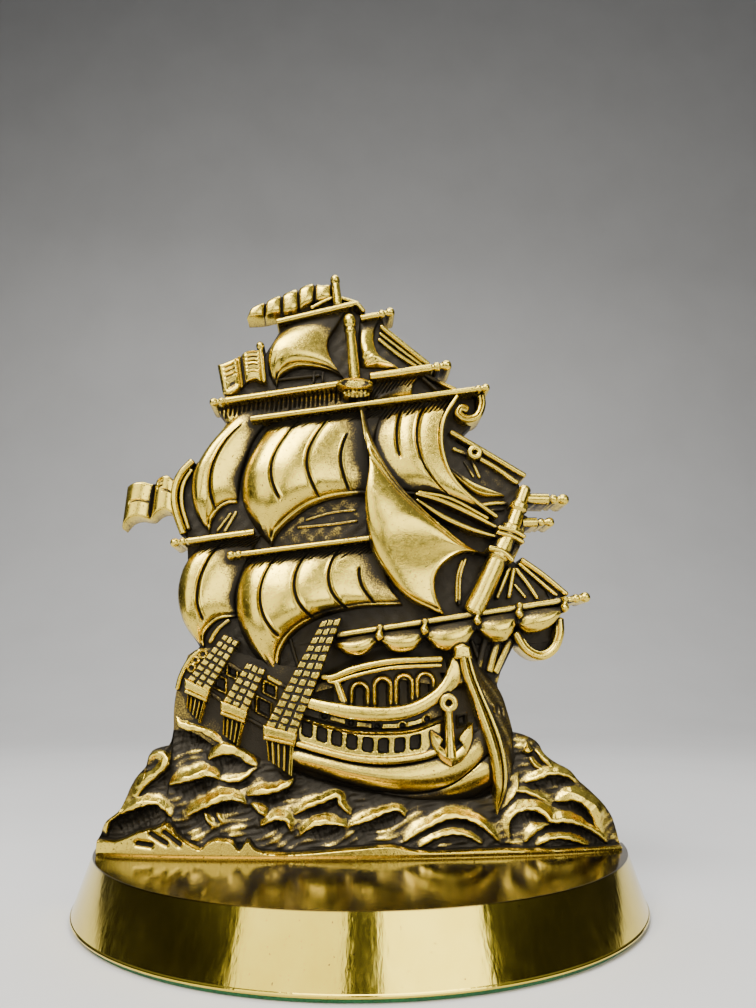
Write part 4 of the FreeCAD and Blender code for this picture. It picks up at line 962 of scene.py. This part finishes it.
def depth_map():
    """The casting's front as a grid of depths, from every piece's vertices."""
    size = (MAP_SIZE / CELL).astype(int)
    grid = np.zeros(size)
    for obj in casting:
        co = read(obj, "co")
        cell = np.clip(((co[:, [0, 2]] - LOW_CORNER) / CELL).round().astype(int), 0, size - 1)
        np.maximum.at(grid, tuple(cell.T), BACK - co[:, 1])
    holes = grid < BACK_FACE - 0.1
    grid[holes] = neighbours(grid, np.maximum)[holes]
    return grid


def neighbours(grid, pick):
    out = grid
    for shift in ((1, 0), (-1, 0), (0, 1), (0, -1)):
        out = pick(out, np.roll(grid, shift, (0, 1)))
    return out


def spread(grid, radius, pick):
    """Largest or smallest value within a rounded neighbourhood."""
    for k in range(int(radius / CELL)):
        grid = neighbours(grid, pick)
        if k % 2:
            grid = pick(grid, np.roll(grid, (1, 1), (0, 1)))
            grid = pick(grid, np.roll(grid, (-1, -1), (0, 1)))
    return grid


def blurred(grid, width):
    """A soft average over a width in millimetres."""
    reach = int(2.5 * width / CELL)
    kernel = bell(np.arange(-reach, reach + 1) * CELL, width)
    kernel /= kernel.sum()
    for axis in (0, 1):
        grid = np.apply_along_axis(np.convolve, axis, grid, kernel, "same")
    return grid


def sample(grid, co):
    """The grid's value at each vertex, blended between cells."""
    g = (co[:, [0, 2]] - LOW_CORNER) / CELL
    i, k = np.clip(g.astype(int), 0, np.array(grid.shape) - 2).T
    a, b = np.clip(g.T - (i, k), 0, 1)
    near = grid[i, k] * (1 - a) + grid[i + 1, k] * a
    far = grid[i, k + 1] * (1 - a) + grid[i + 1, k + 1] * a
    return near * (1 - b) + far * b


def add_patina():
    """Gives every casting vertex a wear value: 0 in hollows, 1 on buffed high points, lower where a piece is
    painted darker, in places as painted shade.
    """
    grid = depth_map()
    levels = [blurred(grid, 0.6)]
    for radius in (0.75, 2.5, 6.0):
        ball = spread(spread(grid, radius, np.maximum), radius, np.minimum)
        levels.append(blurred(ball, radius * 0.35))
    for obj in casting:
        co = read(obj, "co")
        depth = BACK - co[:, 1]
        local, fine, middle, wide = (sample(level, co) - depth for level in levels)
        hidden = 0.8 * smooth(0.08, 0.6, fine) + 0.6 * smooth(0.3, 1.8, middle)
        hidden += 0.45 * smooth(1.2, 5.0, wide)
        wear_and_shade = 1.05 - np.minimum(hidden, 1.0) - 0.4 * smooth(0.08, 0.6, local) - read(obj, "stain_and_shade")
        put(obj, "wear_and_shade", np.clip(np.where(depth < BACK_FACE, BACK_WEAR, wear_and_shade), 0, 1))


# ---- materials ----
def new_material(name):
    material = bpy.data.materials.new(name)
    material.use_nodes = True
    tree = material.node_tree
    return material, tree, tree.nodes["Principled BSDF"]


def place_node(tree):
    return tree.nodes.new("ShaderNodeTexCoord").outputs["Object"]


def feed(tree, node, *values):
    """Fills a node's first inputs: constants are set, outputs of other nodes are linked."""
    for socket, value in zip(node.inputs, values):
        if isinstance(value, bpy.types.NodeSocket):
            tree.links.new(value, socket)
        elif value is not None:
            socket.default_value = value
    return node.outputs[0]


def noise(tree, scale, detail=3.0, rough=0.55, stretch=None):
    source = place_node(tree)
    if stretch:
        mapping = tree.nodes.new("ShaderNodeMapping")
        mapping.inputs["Scale"].default_value = stretch
        source = feed(tree, mapping, source)
    node = tree.nodes.new("ShaderNodeTexNoise")
    feed(tree, node, source, None, scale, detail, rough)
    return node.outputs["Fac"]


def ranged(tree, value, low, high, to_low=0.0, to_high=1.0, kind="LINEAR"):
    node = tree.nodes.new("ShaderNodeMapRange")
    node.interpolation_type = kind
    return feed(tree, node, value, low, high, to_low, to_high)


def calc(tree, operation, a, b=None, c=None):
    node = tree.nodes.new("ShaderNodeMath")
    node.operation = operation
    return feed(tree, node, a, b, c)


def ramp(tree, value, stops):
    node = tree.nodes.new("ShaderNodeValToRGB")
    band = node.color_ramp
    while len(band.elements) < len(stops):
        band.elements.new(0.5)
    for element, (position, colour) in zip(band.elements, stops):
        element.position = position
        element.color = (*colour, 1)
    return feed(tree, node, value)


def bump(tree, shader, height, distance, strength=1.0, under=None):
    node = tree.nodes.new("ShaderNodeBump")
    node.inputs["Distance"].default_value = distance
    node.inputs["Strength"].default_value = strength
    tree.links.new(height, node.inputs["Height"])
    if under is not None:
        tree.links.new(under, node.inputs["Normal"])
    tree.links.new(node.outputs["Normal"], shader.inputs["Normal"])
    return node.outputs["Normal"]


def antique_brass():
    """Cast brass darkened all over, then buffed back to metal where it stands proud."""
    material, tree, shader = new_material("antique_brass")
    # The attribute holds the buffing and, on some pieces, painted shade.
    wear_and_shade = tree.nodes.new("ShaderNodeAttribute")
    wear_and_shade.attribute_name = "wear_and_shade"
    grain = noise(tree, 3600, 2.0, 0.6)
    patches = noise(tree, 260, 4.0, 0.55)
    speckled = calc(tree, "ADD", calc(tree, "SUBTRACT", grain, 0.5), wear_and_shade.outputs["Fac"])
    varied = calc(tree, "MULTIPLY_ADD", calc(tree, "SUBTRACT", patches, 0.5), 0.4, speckled)
    pits = ranged(tree, noise(tree, 2300, 1.0), 0.25, 0.32)
    bare = calc(tree, "MULTIPLY", ranged(tree, varied, 0.24, 0.96, kind="SMOOTHSTEP"), pits)
    colour = ramp(tree, bare, [(0.0, (0.02, 0.0155, 0.008)), (0.28, (0.09, 0.066, 0.024)),
                               (0.6, (0.35, 0.245, 0.05)), (1.0, (0.82, 0.61, 0.08))])
    tree.links.new(colour, shader.inputs["Base Color"])
    tree.links.new(ranged(tree, bare, 0.0, 0.5, 0.7, 1.0), shader.inputs["Metallic"])
    gloss = ranged(tree, bare, 0.0, 1.0, 0.5, 0.21)
    smudge = ranged(tree, noise(tree, 900, 3.0), 0.3, 0.7, -0.03, 0.08)
    tree.links.new(calc(tree, "ADD", gloss, smudge), shader.inputs["Roughness"])
    soft = bump(tree, shader, noise(tree, 450, 3.0), 0.00012, 0.35)
    roughen = calc(tree, "MULTIPLY", grain, ranged(tree, bare, 0.0, 1.0, 0.8, 0.18))
    bump(tree, shader, roughen, 0.00018, 0.7, soft)
    return material


def polished_brass():
    """Turned and mirror-polished brass with hairlines, smears and a few pits; its top face is painted darker
    and browner, a painted reflection of the dark relief mirrored in it.
    """
    material, tree, shader = new_material("polished_brass")
    tint = ramp(tree, noise(tree, 90, 4.0), [(0.3, (0.70, 0.52, 0.05)), (0.7, (0.83, 0.64, 0.08))])
    pits = ranged(tree, noise(tree, 2100, 1.0), 0.22, 0.27)
    split = tree.nodes.new("ShaderNodeSeparateXYZ")
    tree.links.new(place_node(tree), split.inputs[0])
    top = ranged(tree, split.outputs["Z"], (BASE_TOP - 0.25) * MM, (BASE_TOP - 0.05) * MM)
    # The top face is painted dark brown: a painted reflection of the dark relief mirrored in it.
    top_shade_mix = ranged(tree, top, 0, 1, 1.0, 0.07)
    for factor, colour in ((pits, (0.16, 0.10, 0.04, 1)), (top_shade_mix, (0.08, 0.052, 0.03, 1))):
        mixed = tree.nodes.new("ShaderNodeMix")
        mixed.data_type = "RGBA"
        mixed.inputs["A"].default_value = colour
        tree.links.new(factor, mixed.inputs["Factor"])
        tree.links.new(tint, mixed.inputs["B"])
        tint = mixed.outputs["Result"]
    tree.links.new(tint, shader.inputs["Base Color"])
    shader.inputs["Metallic"].default_value = 1.0
    smear = ranged(tree, noise(tree, 120, 5.0, 0.65), 0.35, 0.75, 0.05, 0.14)
    hair = ranged(tree, noise(tree, 1500, 2.0, 0.5, (1, 1, 0.05)), 0.35, 0.7, 0.0, 0.05)
    rough = calc(tree, "MULTIPLY_ADD", top, 0.05, calc(tree, "ADD", smear, hair))
    tree.links.new(rough, shader.inputs["Roughness"])
    waver = bump(tree, shader, noise(tree, 60, 2.0), 0.0002, 0.05)
    bump(tree, shader, noise(tree, 1400, 2.0, 0.5, (1, 1, 0.04)), 0.00005, 0.3, waver)
    return material


def green_baize():
    """Short woollen nap, clumped and slightly mottled."""
    material, tree, shader = new_material("green_baize")
    mottle = noise(tree, 2600, 4.0, 0.7)
    colour = ramp(tree, mottle, [(0.3, (0.004, 0.06, 0.016)), (0.7, (0.016, 0.19, 0.055))])
    tree.links.new(colour, shader.inputs["Base Color"])
    shader.inputs["Roughness"].default_value = 0.95
    shader.inputs["Sheen Weight"].default_value = 0.15
    shader.inputs["Sheen Roughness"].default_value = 0.5
    bump(tree, shader, noise(tree, 3200, 4.0, 0.75), 0.0004, 0.8)
    return material


def plated_steel():
    material, tree, shader = new_material("plated_steel")
    shader.inputs["Base Color"].default_value = (0.62, 0.62, 0.6, 1)
    shader.inputs["Metallic"].default_value = 1.0
    rough = ranged(tree, noise(tree, 1800, 3.0), 0.3, 0.7, 0.25, 0.42)
    tree.links.new(rough, shader.inputs["Roughness"])
    return material


def pale_floor():
    material, tree, shader = new_material("pale_floor")
    colour = ramp(tree, noise(tree, 9, 4.0), [(0.3, (0.62, 0.61, 0.59)), (0.7, (0.66, 0.65, 0.63))])
    tree.links.new(colour, shader.inputs["Base Color"])
    shader.inputs["Roughness"].default_value = 0.85
    return material


def paint(obj, material):
    obj.data.materials.clear()
    obj.data.materials.append(material)


# ---- base and baize ----
def half_disc_mesh(name, profile, cell_deg=0.75, sharp=30):
    """A turned solid with a saw-cut back. profile is (radius, z) pairs from underside to top, in mm."""
    middle = BACK + CHORD_OFFSET
    starts = [math.asin(CHORD_OFFSET / radius) for radius, z in profile]
    count = int((180 - 2 * math.degrees(starts[0])) / cell_deg)
    verts = []
    for (radius, z), start in zip(profile, starts):
        for k in range(count + 1):
            a = start + (math.pi - 2 * start) * k / count
            verts.append((radius * math.cos(a) * MM, (middle - radius * math.sin(a)) * MM, z * MM))
    rings = np.arange(len(verts)).reshape(len(profile), -1)
    faces = np.roll(quads(rings)[:, ::-1], 1, 1).tolist()
    faces += [[*rings[:, -1], *rings[::-1, 0]], rings[0].tolist(), rings[-1, ::-1].tolist()]
    return mesh_object(name, verts, faces, sharp)


def quarter(cx, cz, r, start, end):
    """Points of a rounded arris in a turned profile."""
    return [(cx + r * math.cos(a), cz + r * math.sin(a)) for a in np.radians(np.linspace(start, end, 6))]


def base():
    """The tapered half-round plinth with softened rims."""
    foot = BACK - BASE_LOW.y / MM + CHORD_OFFSET
    arris, foot_arris = 0.7, 0.35
    low = BASE_LOW.z / MM
    lean = math.degrees(math.atan2(BASE_TOP - low, foot - RIM_RADIUS))
    profile = quarter(foot - foot_arris, low + foot_arris, foot_arris, -90, lean)
    profile += quarter(RIM_RADIUS - arris + 0.05, BASE_TOP - arris, arris, lean, 90)
    obj = half_disc_mesh("brass_base", profile)
    paint(obj, polished_brass())
    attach(obj, "root")
    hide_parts("base_plinth")


def baize(material):
    """The cloth under the base, glued flat, with softened edges."""
    radius = FELT_HIGH.y / MM - FELT_LOW.y / MM + CHORD_OFFSET
    low, high = FELT_LOW.z / MM, FELT_HIGH.z / MM
    profile = [(radius - 0.15, low), (radius, low + 0.3), (radius, high - 0.25), (radius - 0.1, high)]
    obj = half_disc_mesh("baize", profile, 0.5, 60)
    paint(obj, material)
    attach(obj, "root")
    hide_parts("baize_pad")


# ---- the studio ----
def floor():
    """A pale table that sweeps up into a pale backdrop, which widens towards its top."""
    left, right = -0.62, 0.76
    rows = [(-0.2, 0.0, 0.0), (0.5, 0.0, 0.0)]
    sweep = np.radians(np.linspace(6, 90, 15))
    rows += [(0.5 + 0.6 * math.sin(a), 0.6 - 0.6 * math.cos(a), 0.0) for a in sweep]
    rows.append((1.1, 1.8, 0.22))
    verts = [(x, y, z) for y, z, wider in rows for x in (left - wider, right + wider)]
    faces = [[k, k + 1, k + 3, k + 2] for k in range(0, len(verts) - 2, 2)]
    obj = mesh_object("studio_sweep", verts, faces, 80)
    paint(obj, pale_floor())


def lamp(name, place, aim, size, power, colour=(1, 1, 1)):
    light = bpy.data.lights.new(name, "AREA")
    light.shape = "RECTANGLE"
    light.size, light.size_y = size
    light.energy = power
    light.color = colour
    obj = bpy.data.objects.new(name, light)
    bpy.context.scene.collection.objects.link(obj)
    obj.location = place
    direction = Vector(aim) - Vector(place)
    obj.rotation_euler = direction.to_track_quat("-Z", "Y").to_euler()


def studio():
    floor()
    lamp("left_panel", (-0.285, -0.55, 0.20), (0, 0, 0.06), (0.46, 0.36), 1.3, (1.0, 0.99, 0.96))
    lamp("right_panel", (0.262, -0.562, 0.20), (0, 0, 0.06), (0.44, 0.36), 2.2, (0.97, 0.98, 1.0))
    lamp("key", (-0.24, -0.40, 0.62), (0, 0, 0.07), (0.55, 0.32), 9.5, (1.0, 0.99, 0.97))
    lamp("over", (0.05, 0.15, 0.9), (0, 0.1, 0.05), (0.6, 0.4), 6.0)
    world = bpy.data.worlds.new("studio")
    bpy.context.scene.world = world
    world.use_nodes = True
    tree = world.node_tree
    background = tree.nodes["Background"]
    direction = tree.nodes.new("ShaderNodeTexCoord").outputs["Generated"]
    split = tree.nodes.new("ShaderNodeSeparateXYZ")
    tree.links.new(direction, split.inputs[0])
    sky = ramp(tree, ranged(tree, split.outputs["Z"], -0.3, 0.9),
               [(0.0, (0.06, 0.06, 0.06)), (0.4, (0.07, 0.07, 0.07)), (0.75, (0.5, 0.52, 0.55)),
                (1.0, (0.75, 0.78, 0.85))])
    tree.links.new(sky, background.inputs["Color"])
    background.inputs["Strength"].default_value = 0.4


def camera():
    """Low in front, tipped up at the ship, as the object was photographed."""
    data = bpy.data.cameras.new("camera")
    data.lens = 27.04
    data.sensor_width = 36
    data.clip_start = 0.01
    obj = bpy.data.objects.new("camera", data)
    bpy.context.scene.collection.objects.link(obj)
    obj.location = (-0.0048, -0.1537, 0.04645)
    obj.rotation_euler = [math.radians(angle) for angle in (103.45, 0.05, -2.58)]
    bpy.context.scene.camera = obj


# ---- everything ----
def build_casting():
    ground()
    sea()
    hull()
    group("quarter_and_shrouds", after_hull)
    group("stem_and_bows", stem)
    group("anchor", anchor)
    group("forecastle", forecastle)
    sails()
    group("yards", yards)
    group("masts_and_spars", masts)
    group("furled_fore_course", furled_sail)
    ropes()
    flags()
    add_patina()
    material = antique_brass()
    for obj in casting:
        paint(obj, material)
        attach(obj, "root")
        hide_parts("galleon_casting")


camera()
build_casting()
base()
baize(green_baize())
paint(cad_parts["fixing_screws"], plated_steel())
studio()
